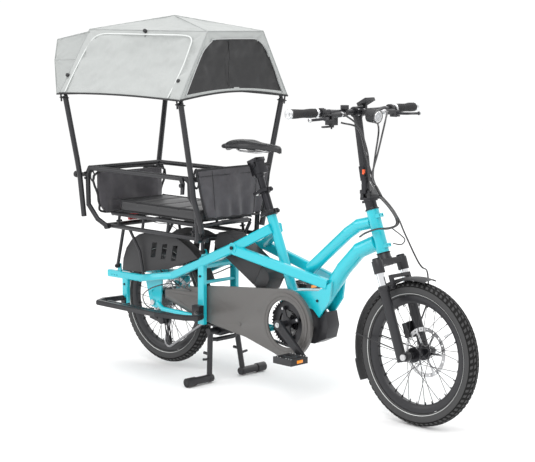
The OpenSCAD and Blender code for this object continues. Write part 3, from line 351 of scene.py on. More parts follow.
def catmull(points, steps=8, closed=False):
    """Catmull-Rom curve through the points."""
    points = [np.array(p, float) for p in points]
    n = len(points)
    curve = []
    for i in range(n if closed else n - 1):
        p1, p2 = points[i], points[(i + 1) % n]
        p0 = points[i - 1] if closed or i > 0 else 2 * points[0] - points[1]
        p3 = points[(i + 2) % n] if closed or i + 2 < n else 2 * points[-1] - points[-2]
        for k in range(steps):
            t = k / steps
            curve.append(0.5 * (2 * p1 + (p2 - p0) * t + (2 * p0 - 5 * p1 + 4 * p2 - p3) * t * t
                                + (3 * p1 - p0 - 3 * p2 + p3) * t ** 3))
    if not closed:
        curve.append(points[-1])
    return curve


def sweep(path, radius, sides=10, closed=False, flat=1.0, up=None):
    """Tube along a path. `radius` is one value or one per point; `flat` scales it along up."""
    path = np.array(path, float)
    n = len(path)
    if closed:
        tangents = np.roll(path, -1, 0) - np.roll(path, 1, 0)
    else:
        tangents = np.gradient(path, axis=0)
    tangents /= np.linalg.norm(tangents, axis=1)[:, None] + 1e-12
    if up is None:
        up = (0, 0, 1) if abs(tangents[0][2]) < 0.9 else (1, 0, 0)
    up = np.array(up, float)
    points = []
    for centre, tangent, size in zip(path, tangents, np.broadcast_to(radius, n)):
        up, side = across(tangent, up)
        for k in range(sides):
            a = 2 * math.pi * k / sides
            points.append(centre + size * (math.cos(a) * up * flat + math.sin(a) * side))
    return points, tube_faces(n, sides, True) if closed else capped_faces(n, sides)


def lathe(centre, axis, profile, segments=32):
    """Turned solid. Profile: (distance along the axis, radius); radius 0 closes an end."""
    centre, axis = np.array(centre, float), unit(np.array(axis, float))
    first, second = across(axis, vec(0, 0, 1) if abs(axis[2]) < 0.9 else vec(1, 0, 0))
    points, faces, rings = [], [], []
    for along, radius in profile:
        start = len(points)
        if radius <= 1e-9:
            points.append(centre + axis * along)
        else:
            for k in range(segments):
                a = 2 * math.pi * k / segments
                points.append(centre + axis * along
                              + radius * (math.cos(a) * first + math.sin(a) * second))
        rings.append(list(range(start, len(points))))
    for low, high in zip(rings, rings[1:]):
        for k in range(segments):
            n = (k + 1) % segments
            if len(low) == 1:
                faces.append((low[0], high[n], high[k]))
            elif len(high) == 1:
                faces.append((low[k], low[n], high[0]))
            else:
                faces.append((low[k], low[n], high[n], high[k]))
    if len(rings[0]) > 1:
        faces.append(tuple(rings[0][::-1]))
    if len(rings[-1]) > 1:
        faces.append(tuple(rings[-1]))
    return points, faces


def bolt(centre, axis, radius, height=None):
    """Bolt head with a round socket."""
    h = height or radius * 0.9
    profile = [(-0.0005, radius), (h * 0.75, radius), (h * 0.95, radius * 0.9),
               (h, radius * 0.78), (h, radius * 0.52), (h * 0.45, radius * 0.48), (h * 0.4, 0)]
    return lathe(centre, axis, profile, 20)


def rounded_box(centre, half, bevel, rotation=np.eye(3)):
    bm = bmesh.new()
    bmesh.ops.create_cube(bm, size=2)
    for vert in bm.verts:
        vert.co = Vector([value * size for value, size in zip(vert.co, half)])
    bmesh.ops.bevel(bm, geom=bm.edges[:], offset=bevel, segments=3, affect="EDGES", profile=0.6)
    bm.verts.index_update()
    points = [rotation @ np.array(vert.co) + np.array(centre) for vert in bm.verts]
    faces = [tuple(vert.index for vert in face.verts) for face in bm.faces]
    bm.free()
    return points, faces


# ---------------------------------------------------------------- tyres
FRONT_X = 1.320
FRONT_RADIUS = 0.258
TREAD_BLOCKS = 72
STEPS_PER_BLOCK = 12
# Tread bands from the centre line outwards: outer edge in degrees round the tyre section,
# groove depth, part of the block pitch where the groove starts (-1 cuts right round),
# stagger of the left half, slant per degree
TREAD = [
    (8, 0.0026, 0.80, 0.5, 0.018),
    (13, 0.0030, -1, 0, 0),
    (34, 0.0034, 0.60, 0.5, 0.018),
    (38, 0.0028, -1, 0, 0),
    (62, 0.0036, 0.52, 0, 0.01),
    (66, 0.0034, -1, 0, 0),
]
GROOVE_SHADE_DEPTH = 0.0018  # depth past which a point counts as groove and takes the painted groove shade
STRIPE_DEGREES = (119, 121.25, 123.5)
VALVE_ANGLE = 0.6
VALVE_PROFILE = [(0, 0.004), (0.03, 0.0036), (0.031, 0.0044), (0.04, 0.0044), (0.042, 0.0025),
                 (0.042, 0)]
NIPPLE_PROFILE = [(0, 0.0026), (0.008, 0.002), (0.011, 0.0015), (0.011, 0)]


def tread_height(angle, lap):
    degrees = abs(math.degrees(angle))
    for edge, depth, start, stagger, slant in TREAD:
        if degrees < edge:
            phase = (lap * TREAD_BLOCKS + stagger * (angle > 0) + degrees * slant) % 1.0
            return np.where(phase > start, -depth, 0.0)
    return np.full(len(lap), -0.0010 + 0.0003 * math.sin(degrees * 1.1))


def tyre(name, node, body, x, z, radius):
    low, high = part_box(node)
    section = (high.y - low.y) / 2
    core = radius - section
    count = TREAD_BLOCKS * STEPS_PER_BLOCK
    lap = np.arange(count) / count
    angles = np.radians(np.linspace(-140, 140, 57))
    rings = []
    for angle in angles:
        height = section + tread_height(angle, lap)
        reach = core + height * math.cos(angle)
        a = 2 * math.pi * lap
        rings.append(np.stack([x + reach * np.cos(a), height * math.sin(angle),
                               z + reach * np.sin(a)], 1))
    points = np.concatenate(rings)
    faces = tube_faces(len(angles), count)
    tread = add_mesh(name, (points, faces), "tyre", body, True, 30)
    # Faces sunk into the grooves get the darker groove material, which is painted shade in the
    # recesses
    tread.data.materials.append(MATERIALS["groove"])
    from_core = np.hypot(np.hypot(points[:, 0] - x, points[:, 2] - z) - core, points[:, 1])
    sunk = from_core < section - GROOVE_SHADE_DEPTH
    painted_groove_shade = (sunk[np.array(faces)].sum(1) >= 2).astype(np.int32)
    tread.data.polygons.foreach_set("material_index", painted_groove_shade)
    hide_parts(node)

    stripes = []
    steps = 180
    inset = section - 0.0004
    for side in SIDES:
        ring = [around(x, z, core + inset * math.cos(q), 2 * math.pi * i / steps,
                       side * inset * math.sin(q))
                for q in np.radians(STRIPE_DEGREES) for i in range(steps)]
        stripes.append((ring, tube_faces(3, steps)))
    add_mesh(name + "_stripe", join(stripes), "stripe", body)
    valve = lathe(around(x, z, 0.181, VALVE_ANGLE), -around(0, 0, 1, VALVE_ANGLE),
                  VALVE_PROFILE, 14)
    add_mesh(name + "_valve", valve, "alu", body)
    nipples = []
    for i in range(32):
        a = 2 * math.pi * i / 32
        nipples.append(lathe(around(x, z, 0.1825, a, 0.003 if i % 2 else -0.003),
                             -around(0, 0, 1, a), NIPPLE_PROFILE, 8))
    add_mesh(name + "_nipples", join(nipples), "black", body)


rear_low, rear_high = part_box("rear_tyre")
REAR_Z = (rear_low.z + rear_high.z) / 2
tyre("tyre_front", "front_tyre", "front_wheel", FRONT_X, FRONT_RADIUS, FRONT_RADIUS)
tyre("tyre_rear", "rear_tyre", "rear_wheel", 0.0, REAR_Z, (rear_high.z - rear_low.z) / 2)

# ---------------------------------------------------------------- chain, in millimetres
PITCH = 12.7
CRANK_X, CRANK_Z = 737, 291
CHAIN_Y = -0.05  # metres


def pitch_radius(teeth):
    return PITCH / (2 * math.sin(math.pi / teeth))


# Wheels in chain order: centre (x, z), radius, turn (1 clockwise seen from the right)
CHAIN_WHEELS = [
    ((CRANK_X, CRANK_Z), pitch_radius(44), 1),
    ((330, 234), 24.0, -1),
    ((62, 118), pitch_radius(11), 1),
    ((45, 205), pitch_radius(11), -1),
    ((0, REAR_Z * 1000), pitch_radius(18), 1),
]


def chain_points():
    """Link pins (x, z, index of the last wheel passed) at even steps round the loop."""
    def heading(start, end):
        (x0, z0), radius0, turn0 = start
        (x1, z1), radius1, turn1 = end
        dx, dz = x1 - x0, z1 - z0
        return math.atan2(dz, dx) - math.asin((turn0 * radius0 - turn1 * radius1)
                                              / math.hypot(dx, dz))

    n = len(CHAIN_WHEELS)
    headings = [heading(CHAIN_WHEELS[i], CHAIN_WHEELS[(i + 1) % n]) for i in range(n)]
    path, wheels = [], []
    for i, (centre, radius, direction) in enumerate(CHAIN_WHEELS):
        entry, leave = headings[i - 1], headings[i]
        if direction > 0:
            wrap = -((entry - leave) % (2 * math.pi))
        else:
            wrap = (leave - entry) % (2 * math.pi)
        steps = max(6, int(abs(wrap) / 0.05))
        for k in range(steps + 1):
            a = entry + wrap * k / steps
            path.append(np.array(centre) + direction * radius * vec(-math.sin(a), math.cos(a)))
            wheels.append(i)
    path.append(path[0])
    wheels.append(0)
    path = np.array(path)
    length = np.r_[0, np.cumsum(np.linalg.norm(np.diff(path, axis=0), axis=1))]
    count = int(round(length[-1] / PITCH / 2)) * 2
    places = np.linspace(0, length[-1], count, endpoint=False)
    passed = [wheels[max(0, np.searchsorted(length, s, side="right") - 1)] for s in places]
    return list(zip(np.interp(places, length, path[:, 0]),
                    np.interp(places, length, path[:, 1]), passed))


def chain_link(start, end, plate_y):
    """Two waisted plates, a pin and a roller; start and end are in metres."""
    along = unit(end - start)
    upward = np.cross(along, vec(0, 1, 0))
    middle = (start + end) / 2
    outline = []
    for k in range(16):
        a = 2 * math.pi * k / 16
        pin = start if math.cos(a) < 0 else end
        outline.append(pin + along * math.cos(a) * 0.0041 + upward * math.sin(a) * 0.0041)
    outline.insert(4, middle + upward * 0.0030)
    outline.insert(13, middle - upward * 0.0030)
    parts = [solid(*[[p + vec(0, CHAIN_Y + side * plate_y + face, 0) for p in outline]
                     for face in (-0.0005, 0.0005)]) for side in SIDES]
    for y, radius, width, segments in ((-0.0545, 0.0017, 0.009, 10), (-0.0520, 0.0036, 0.004, 12)):
        parts.append(lathe(start + vec(0, y, 0), (0, 1, 0), [(0, radius), (width, radius)],
                           segments))
    return join(parts)


def chain():
    pins = chain_points()
    groups = {"frame": [], "blend": [], "cage": []}
    for i, (x, z, wheel) in enumerate(pins):
        next_x, next_z, _ = pins[(i + 1) % len(pins)]
        link = chain_link(mm(x, 0, z), mm(next_x, 0, next_z), 0.0033 if i % 2 else 0.0024)
        group = "frame"
        if z < 200 and x < 66:
            group = "cage"
        elif wheel == 1 and x < 322 and z < 232:
            group = "blend"
        elif wheel == 2 or (wheel == 3 and z < 196):
            group = "cage"
        groups[group].append(link)
    main = add_mesh("chain_main", join(groups["frame"]), "chain", "frame", False)
    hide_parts("chain")
    add_mesh("chain_cage", join(groups["cage"]), "chain", "cage", False)
    lower = add_mesh("chain_lower", join(groups["blend"]), "chain", None, False)
    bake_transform(lower)


chain()

# ---------------------------------------------------------------- padded cloth
CLOTH_FRAMES = 20


def apply_modifiers(thing):
    graph = bpy.context.evaluated_depsgraph_get()
    data = bpy.data.meshes.new_from_object(thing.evaluated_get(graph))
    old = thing.data
    thing.modifiers.clear()
    thing.data = data
    bpy.data.meshes.remove(old)


def get_points(thing):
    flat = np.zeros(len(thing.data.vertices) * 3, np.float32)
    thing.data.vertices.foreach_get("co", flat)
    return flat.reshape(-1, 3).astype(float)


def set_points(thing, points):
    thing.data.vertices.foreach_set("co", np.ascontiguousarray(points, np.float32).ravel())
    thing.data.update()


def simulate_pressure(pad, rest, pin_weight, limit):
    """Blow up the pad as pinned cloth; no point moves further than the limit."""
    group = pad.vertex_groups.new(name="pin")
    for i, p in enumerate(rest):
        weight = pin_weight(p)
        if weight > 0:
            group.add([i], min(1.0, weight), "REPLACE")
    cloth = pad.modifiers.new("cloth", "CLOTH")
    settings = cloth.settings
    settings.quality = 6
    settings.mass = 0.3
    settings.tension_stiffness = 12
    settings.compression_stiffness = 12
    settings.shear_stiffness = 8
    settings.bending_stiffness = 0.4
    settings.use_pressure = True
    settings.uniform_pressure_force = 4.0
    settings.effector_weights.gravity = 0
    settings.vertex_group_mass = "pin"
    settings.shrink_min = 0.0
    cloth.collision_settings.use_collision = False
    cloth.point_cache.frame_start = 1
    cloth.point_cache.frame_end = CLOTH_FRAMES
    for number in range(1, CLOTH_FRAMES + 1):
        SCENE.frame_set(number)
    apply_modifiers(pad)
    SCENE.frame_set(1)
    move = get_points(pad) - rest
    length = np.linalg.norm(move, axis=1)
    scale = np.where(length > limit, limit / np.maximum(length, 1e-9), 1.0)
    move[~np.isfinite(length)] = 0  # a point the solver lost stays at rest
    set_points(pad, rest + move * scale[:, None])


def inflate(pad, voxel, pin_weight, limit):
    remesh = pad.modifiers.new("remesh", "REMESH")
    remesh.mode = "VOXEL"
    remesh.voxel_size = voxel
    apply_modifiers(pad)
    smooth = pad.modifiers.new("smooth", "SMOOTH")
    smooth.iterations = 3
    apply_modifiers(pad)
    simulate_pressure(pad, get_points(pad), pin_weight, limit)
    subdivide(pad, "subdivision")
    apply_modifiers(pad)
    shade_smooth(pad)


def subdivide(thing, name):
    modifier = thing.modifiers.new(name, "SUBSURF")
    modifier.levels = modifier.render_levels = 1


# Cushion: quilted pad with cut corners and seams across it
CUSHION_LOW, CUSHION_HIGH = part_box("cushion")
BASE_Z, TOP_Z = CUSHION_LOW.z, CUSHION_HIGH.z
QUILT_X = [-0.04, 0.085, 0.21]
CUSHION_HALF = 0.130
CUSHION_OUTLINE = [  # x, y
    (CUSHION_LOW.x + 0.004, -0.112), (CUSHION_LOW.x + 0.024, -CUSHION_HALF),
    (CUSHION_HIGH.x - 0.024, -CUSHION_HALF), (CUSHION_HIGH.x - 0.004, -0.112),
    (CUSHION_HIGH.x - 0.004, 0.112), (CUSHION_HIGH.x - 0.024, CUSHION_HALF),
    (CUSHION_LOW.x + 0.024, CUSHION_HALF), (CUSHION_LOW.x + 0.004, 0.112)]


def cushion_pin(p):
    if p[2] < BASE_Z + 0.006:
        return 1.0
    near_edge = (abs(abs(p[1]) - CUSHION_HALF) < 0.006 or p[0] < CUSHION_LOW.x + 0.012
                 or p[0] > CUSHION_HIGH.x - 0.012)
    if abs(p[2] - (TOP_Z - 0.006)) < 0.004 and near_edge:
        return 0.9
    if p[2] > TOP_Z - 0.012 and min(abs(p[0] - x) for x in QUILT_X) < 0.004:
        return 1.0
    return 0.0


def cushion():
    def outline_at(z):
        return [vec(x, y, z) for x, y in CUSHION_OUTLINE]

    pad = add_mesh("cushion_pad", solid(outline_at(BASE_Z + 0.001), outline_at(TOP_Z - 0.006)),
                   "vinyl")
    inflate(pad, 0.006, cushion_pin, 0.009)
    points = get_points(pad)
    for p in points:
        if p[2] > TOP_Z - 0.02:
            dips = sum(0.0035 * math.exp(-((p[0] - x) / 0.006) ** 2) for x in QUILT_X)
            p[2] += 0.0012 * noise_at(p, 14, 3.0) - dips
    set_points(pad, points)
    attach(pad, "frame")
    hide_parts("cushion")
    piping = [sweep(catmull(outline_at(z), 6, True), 0.0028, 8, True)
              for z in (TOP_Z - 0.007, BASE_Z + 0.005)]
    for x in QUILT_X:
        piping.append(sweep([vec(x, y, TOP_Z - 0.0075 + 0.0005 * math.sin(y * 300))
                             for y in np.linspace(-0.126, 0.126, 60)], 0.0009, 6))
    add_mesh("cushion_piping", join(piping), "binding", "frame")


cushion()

# Upright cloth panels in front of and behind the bay; outlines are (y, z)
FRONT_OUTLINE = [
    (-0.198, 0.846), (-0.15, 0.850), (0.15, 0.850), (0.198, 0.846), (0.186, 0.80), (0.172, 0.742),
    (0.14, 0.662), (0.08, 0.658), (-0.08, 0.658), (-0.14, 0.662), (-0.172, 0.742), (-0.186, 0.80)]
REAR_OUTLINE = [
    (-0.172, 0.795), (0.172, 0.795), (0.172, 0.70), (0.165, 0.664), (0.135, 0.628),
    (-0.135, 0.628), (-0.165, 0.664), (-0.172, 0.70)]
FRONT_SEAM_Y, FRONT_SEAM_Z = 0.120, 0.825
REAR_SEAM_Z = 0.74


def panel(name, node, outline, back_x, front_x, gather, crumple, seed, on_seam):
    """Padded panel with a bound edge, gathered towards its foot."""
    def outline_at(x):
        return [vec(x, y, z) for y, z in outline]

    corners = [np.array(p) for p in outline]

    def edge_distance(y, z):
        best = 9
        for start, end in zip(corners, corners[1:] + corners[:1]):
            run = end - start
            t = ((y - start[0]) * run[0] + (z - start[1]) * run[1]) / (run @ run)
            near = start + run * max(0, min(1, t))
            best = min(best, math.hypot(y - near[0], z - near[1]))
        return best

    cloth = add_mesh(name + "_cloth", solid(outline_at(back_x), outline_at(front_x)), "cloth")
    inflate(cloth, 0.005,
            lambda p: 1.0 if edge_distance(p[1], p[2]) < 0.008 or on_seam(p) else 0.0, 0.007)
    points = get_points(cloth)
    foot = min(z for _, z in outline)
    head = max(z for _, z in outline)
    for p in points:
        x, y, z = p
        inner = min(1.0, edge_distance(y, z) / 0.03)
        low = max(0.0, 1 - (z - foot) / (0.45 * (head - foot)))
        folds = math.sin(y * 95 + 4 * noise_at((y, 0, z), 6, seed))
        creases = (noise_at((y * 1.2, 0, z * 0.7), 9, seed)
                   + 0.5 * noise_at((y, 0.2, z), 22, seed + 2))
        p[0] = x + gather * low * folds * (0.4 + 0.6 * inner) + crumple * inner * creases
    set_points(cloth, points)
    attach(cloth, "frame")
    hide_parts(node)
    middle = outline_at((back_x + front_x) / 2)
    add_mesh(name + "_cloth_binding", sweep(catmull(middle, 5, True), 0.0048, 10, True),
             "binding", "frame")


panel("front_panel", "front_panel", FRONT_OUTLINE, back_x=0.3815, front_x=0.3905,
      gather=0.0065, crumple=0.007, seed=1.7,
      on_seam=lambda p: (abs(p[2] - FRONT_SEAM_Z) < 0.003
                         or abs(abs(p[1]) - FRONT_SEAM_Y) < 0.003))
panel("rear_panel", "rear_panel", REAR_OUTLINE, back_x=-0.247, front_x=-0.227,
      gather=0.004, crumple=0.012, seed=5.1, on_seam=lambda p: abs(p[2] - REAR_SEAM_Z) < 0.003)

# One stitch line across the front panel and two down it
STITCH_X = 0.3925
stitches = [sweep([vec(STITCH_X, y, FRONT_SEAM_Z) for y in np.linspace(-0.185, 0.185, 60)],
                  0.0010, 6)]
for side in SIDES:
    stitches.append(sweep(
        [vec(STITCH_X, side * FRONT_SEAM_Y * (0.86 + 0.14 * (z - 0.66) / 0.165), z)
         for z in np.linspace(0.665, 0.845, 40)], 0.0010, 6))
add_mesh("front_panel_stitching", join(stitches), "binding", "frame")

# Straps that carry the panels on the rails
straps = []
for side in SIDES:
    for x, z in ((0.376, 0.832), (0.376, 0.80), (-0.250, 0.780)):
        loop = [vec(x + 0.012 * math.cos(a), side * 0.190, z + 0.020 * math.sin(a))
                for a in turn(24)]
        straps.append(sweep(loop, 0.0045, 8, True, 0.35, up=(0, 1, 0)))
add_mesh("panel_straps", join(straps), "binding", "frame")
add_mesh("panel_tag", rounded_box((0.3935, 0.122, 0.738), (0.0006, 0.006, 0.009), 0.0004),
         "tag", "frame")

# ---------------------------------------------------------------- canopy
HEM_Z, ROOF_Z = 1.118, 1.375
HEM_HALF, ROOF_HALF = 0.292, 0.150


def corner_ring(rear_x, front_x, half, z):
    """Corners in the order rear right, front right, front left, rear left."""
    return [vec(rear_x, -half, z), vec(front_x, -half, z),
            vec(front_x, half, z), vec(rear_x, half, z)]


HEM = corner_ring(-0.330, 0.392, HEM_HALF, HEM_Z)
ROOF = corner_ring(-0.308, 0.394, ROOF_HALF, ROOF_Z)
APEX = vec(0.045, 0, 1.4335)
# The four walls run right, front, left, rear, each from its own corner to the next
HEM_ARCH = (0.008, 0.026, 0.008, 0.004)
WALL_OUT = [unit(vec(*v)) for v in ((0, -1, 0.45), (1, 0, 0.05), (0, 1, 0.45), (-1, 0, 0.05))]
WALL_STEPS = (120, 96, 120, 96)
FRONT = 1
WALL_RINGS = 46  # from the hem up to the roof edge
ROOF_RINGS = 34  # from the roof edge to the apex
WINDOW = [  # outline (y, z) over the top, from foot to foot
    (-0.262, 1.132), (-0.216, 1.222), (-0.176, 1.293), (-0.150, 1.320), (-0.128, 1.336),
    (-0.104, 1.345), (0.104, 1.345), (0.128, 1.336), (0.150, 1.320), (0.176, 1.293),
    (0.216, 1.222), (0.262, 1.132)]


def in_window(y, z):
    arch = HEM_ARCH[FRONT] * math.cos(min(1.5, abs(y) / HEM_HALF * 1.5708))
    if z < HEM_Z + 0.014 + arch:
        return False
    half = None
    for (y0, z0), (y1, z1) in zip(WINDOW[6:], WINDOW[7:]):
        if z1 <= z <= z0:
            half = y0 + (y1 - y0) * (z0 - z) / (z0 - z1)
    if z < 1.132:
        half = 0.264
    return half is not None and abs(y) < half


def corner_folds(over, up, folds, phase, reach, core):
    """Folds that fan out of a corner, fade over `reach` and vanish inside `core`."""
    distance = math.hypot(over, up)
    if distance <= 1e-6:
        return 0.0
    return (math.sin(math.atan2(up, over) * folds + phase) * math.exp(-distance / reach)
            * min(1, distance / core))


def blend_corners(a, b, c, d, s, t):
    return (1 - s) * (1 - t) * a + s * (1 - t) * b + s * t * c + (1 - s) * t * d


def thicken(cloth):
    modifier = cloth.modifiers.new("solid", "SOLIDIFY")
    modifier.thickness = 0.0012
    modifier.offset = -1


def sheet_point(level, wall, f):
    """Point of the sheet; f runs along the wall from one corner to the next."""
    following = (wall + 1) % 4
    hem = HEM[wall] + (HEM[following] - HEM[wall]) * f
    roof = ROOF[wall] + (ROOF[following] - ROOF[wall]) * f
    side_wall = wall in (0, 2)
    on_wall = level <= WALL_RINGS
    bow = math.sin(math.pi * f)
    if on_wall:
        t = level / WALL_RINGS
        p = hem + (roof - hem) * t + vec(0, 0, HEM_ARCH[wall] * bow * (1 - t) ** 3)
        sag = (0.014 if side_wall else 0.006) * bow * math.sin(math.pi * t)
        out = WALL_OUT[wall]
    else:
        t = (level - WALL_RINGS) / ROOF_RINGS
        p = roof + (APEX - roof) * t
        sag = 0.006 * bow * math.sin(math.pi * min(1, t * 1.15))
        out = vec(0, 0, 1.0)
    # Wrinkles die out at the seams
    inner = min(1.0, min(f, 1 - f, t * 0.5, (1 - t) * 0.5) / 0.06)
    height = 0.017 if side_wall and on_wall else 0.008
    bulge = height * inner * (noise_at(p * vec(0.8, 1, 1.3), 5, 2.0 + wall)
                              + 0.55 * noise_at(p * vec(0.6, 1, 1.6), 13, 3.0 + wall)
                              + 0.25 * noise_at(p, 34, 5.0))
    for corner in (0.0, 1.0):
        bulge += 0.0045 * inner * corner_folds(abs(f - corner), 1 - t if on_wall else t,
                                               folds=12, phase=wall, reach=0.26, core=0.1)
    p = p + out * (bulge - sag)
    p[2] = min(p[2], 1.4345)
    if on_wall and wall == FRONT:
        p[0] = min(p[0], 0.402)
    return p


def canopy_sheet():
    """One sheet in rings from the hem over the roof edge to the apex, with its window."""
    places = [(wall, i / steps) for wall, steps in enumerate(WALL_STEPS) for i in range(steps)]
    n = len(places)
    levels = WALL_RINGS + ROOF_RINGS
    points = [sheet_point(level, wall, f) for level in range(levels + 1) for wall, f in places]
    window = []
    for level in range(levels):
        for i in range(n):
            middle = (points[level * n + i] + points[(level + 1) * n + (i + 1) % n]) / 2
            window.append(int(level < WALL_RINGS and places[i][0] == FRONT
                              and in_window(middle[1], middle[2])))
    sheet = add_mesh("canopy_sheet", (points, tube_faces(levels + 1, n)), "canopy", "frame")
    bm = bmesh.new()
    bm.from_mesh(sheet.data)
    bmesh.ops.remove_doubles(bm, verts=bm.verts[:], dist=0.00005)
    bmesh.ops.dissolve_degenerate(bm, dist=0.00002, edges=bm.edges[:])
    bm.to_mesh(sheet.data)
    bm.free()
    sheet.data.materials.append(MATERIALS["film"])
    polygons = sheet.data.polygons
    # The clean-up may drop faces, and then the list no longer fits
    if len(polygons) == len(window):
        polygons.foreach_set("material_index", window)
    else:
        for face in polygons:
            x, y, z = face.center
            face.material_index = int(face.normal.x > 0.5 and x > 0.3 and in_window(y, z))
    shade_smooth(sheet)
    thicken(sheet)
    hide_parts("canopy")


def hood_patch(name, corners, columns, rows, sag, wrinkle, seed, outward):
    """Wrinkled four-cornered cloth; sags inwards and faces `outward`."""
    a, b, c, d = corners
    normal = unit(np.cross(b - a, d - a))
    flipped = normal @ np.array(outward) < 0
    if flipped:
        normal = -normal
    points = []
    for j in range(rows + 1):
        t = j / rows
        for i in range(columns + 1):
            s = i / columns
            p = blend_corners(a, b, c, d, s, t)
            edge = min(s, 1 - s, t, 1 - t)
            bulge = -sag * math.sin(math.pi * s) * math.sin(math.pi * t)
            bulge += wrinkle * min(1.0, edge / 0.10) * (
                noise_at(p, 5, seed) + 0.55 * noise_at(p * vec(1, 1, 0.5), 12, seed + 1)
                + 0.22 * noise_at(p, 30, seed + 2))
            for corner_s, corner_t in ((0, 0), (1, 0), (0, 1), (1, 1)):
                bulge += 0.004 * min(1.0, edge / 0.03) * corner_folds(
                    abs(s - corner_s), abs(t - corner_t), folds=13, phase=seed, reach=0.28,
                    core=0.08)
            points.append(p + normal * bulge)
    faces = grid_faces(columns, rows)
    if flipped:
        faces = [face[::-1] for face in faces]
    thicken(add_mesh(name, (points, faces), "canopy", "frame"))


# Hood behind the canopy, from its lower rear edge up and forward: x, z, half width
HOOD = [(-0.480, 1.106, 0.19), (-0.490, 1.245, 0.19), (-0.476, 1.332, 0.185),
        (-0.302, 1.366, 0.158)]


def hood_point(station, side):
    x, z, half = HOOD[station]
    return vec(x, side * half, z)


def hood_root(side):
    """Lower front corner of the hood, where it meets the canopy."""
    return vec(-0.325, side * 0.205, 1.114)


canopy_sheet()
# Name, rows, sag, wrinkle height, noise seed, outward direction
for i, (name, *cloth_values) in enumerate([
        ("hood_rear_low", 22, 0.006, 0.010, 20.0, (-1, 0, 0)),
        ("hood_rear_high", 16, 0.004, 0.008, 21.0, (-1, 0, 0)),
        ("hood_top", 24, 0.006, 0.008, 22.0, (0, 0, 1))]):
    hood_patch(name, (hood_point(i, 1), hood_point(i, -1), hood_point(i + 1, -1),
                      hood_point(i + 1, 1)), 50, *cloth_values)
for side, side_name in zip(SIDES, ("right", "left")):
    waist = vec(-0.312, side * 0.175, 1.25)
    for level, rows, seed, corners in (
            ("low", 22, 23.0, (hood_point(0, side), hood_root(side), waist, hood_point(1, side))),
            ("high", 16, 25.0, (hood_point(1, side), waist, hood_point(3, side),
                                hood_point(2, side)))):
        hood_patch(f"hood_side_{level}_{side_name}", corners, 30, rows, sag=0.003,
                   wrinkle=0.006, seed=seed + side, outward=(0, side, 0))


def hem_edge(start, end, count, offset, arch):
    return [start + (end - start) * s + offset + vec(0, 0, arch * math.sin(math.pi * s))
            for s in np.linspace(0, 1, count)]


add_mesh("canopy_hem_piping", join([
    sweep(hem_edge(HEM[1], HEM[2], 40, vec(0.001, 0, 0), HEM_ARCH[1]), 0.0036, 8),
    sweep(hem_edge(HEM[1], HEM[0], 30, vec(0, -0.001, 0), HEM_ARCH[0]), 0.0036, 8),
    sweep(hem_edge(HEM[2], HEM[3], 30, vec(0, 0.001, 0), HEM_ARCH[2]), 0.0036, 8),
    sweep([HEM[0], hood_root(-1), hood_point(0, -1), hood_point(0, 1), hood_root(1), HEM[3]],
          0.0034, 8)]), "binding", "frame")

# Raised seams at the folds between panels
seams = [(HEM[i], ROOF[i]) for i in (1, 2, 0, 3)]
seams += [(ROOF[i], ROOF[j]) for i, j in ((0, 1), (3, 2), (0, 3), (1, 2))]
seams += [(ROOF[i], APEX) for i in (0, 1, 3, 2)]
seams += [(hood_point(i, 1), hood_point(i, -1)) for i in (1, 2)]
seams += [(hood_point(i, side), hood_point(i + 1, side)) for side in SIDES for i in range(3)]
add_mesh("canopy_seams", join([
    sweep([start + (end - start) * t + vec(0, 0, 0.0004 * math.sin(t * 60))
           for t in np.linspace(0, 1, 30)], 0.0021, 7) for start, end in seams]),
    material("canopy_seam", (0.37, 0.385, 0.38), rough=0.8, weave=0.2), "frame")

# Seam round the window and the fold line down its film
add_mesh("window_seam", sweep(catmull([vec(0.3955, y, z) for y, z in WINDOW], 6), 0.0020, 7),
         material("window_seam", (0.42, 0.43, 0.43), rough=0.75), "frame")
add_mesh("window_fold", sweep(
    [vec(0.3925 + 0.001 * math.sin(z * 90), -0.034 + 0.003 * math.sin(z * 50), z)
     for z in np.linspace(1.165, 1.34, 30)], 0.0012, 6), "film", "frame")

# Zip path on each side wall: fraction from rear to front, fraction from hem to roof edge
ZIP = [(0.055, 0.02), (0.052, 0.25), (0.055, 0.5), (0.065, 0.72), (0.09, 0.86), (0.15, 0.92),
       (0.3, 0.93), (0.5, 0.93), (0.7, 0.93), (0.86, 0.92), (0.915, 0.86), (0.925, 0.72),
       (0.93, 0.5), (0.925, 0.25), (0.915, 0.02)]
TOGGLES = [(-318, 255, 1190), (352, 255, 1188), (47, 156, 1372)]  # left side, millimetres
TOGGLE_PROFILE = [(-0.002, 0.007), (0.004, 0.008), (0.009, 0.007), (0.011, 0.004), (0.011, 0)]
HEM_LOOPS = [(-0.318, 0.277, 1.100), (0.378, 0.274, 1.100)]  # left side
LOOP_RADIUS = 0.0145


def wall_point(s, t, side):
    rear, front = (0, 1) if side < 0 else (3, 2)
    p = blend_corners(HEM[rear], HEM[front], ROOF[front], ROOF[rear], s, t)
    sag = 0.014 * math.sin(math.pi * s) * math.sin(math.pi * t)
    return p - unit(vec(0, side, 0.45)) * (sag * 0.55 - 0.0065)


zips, toggles = [], []
for side in SIDES:
    zips.append(sweep(catmull([wall_point(s, t, side) for s, t in ZIP]), 0.0028, 7))
    for x, y, z in TOGGLES:
        top = mm(x, y * side, z)
        toggles.append(lathe(top, (0, side, 0.3), TOGGLE_PROFILE, 18))
        cord = [top, top + vec(0.004, side * 0.006, -0.018), top + vec(-0.002, side * 0.004, -0.04)]
        toggles.append(sweep(catmull(cord), 0.0011, 6))
    for x, y, z in HEM_LOOPS:
        loop = [vec(x + LOOP_RADIUS * math.cos(a), side * y + LOOP_RADIUS * math.sin(a),
                    z - 0.002 * math.cos(a)) for a in turn(20)]
        toggles.append(sweep(loop, 0.006, 8, True, 0.3, up=(0, 0, 1)))
        tab = [vec(x, side * (y + 0.014), z - 0.014), vec(x, side * (y + 0.018), z + 0.02)]
        toggles.append(sweep(tab, 0.0045, 8, False, 0.35, up=(1, 0, 0)))
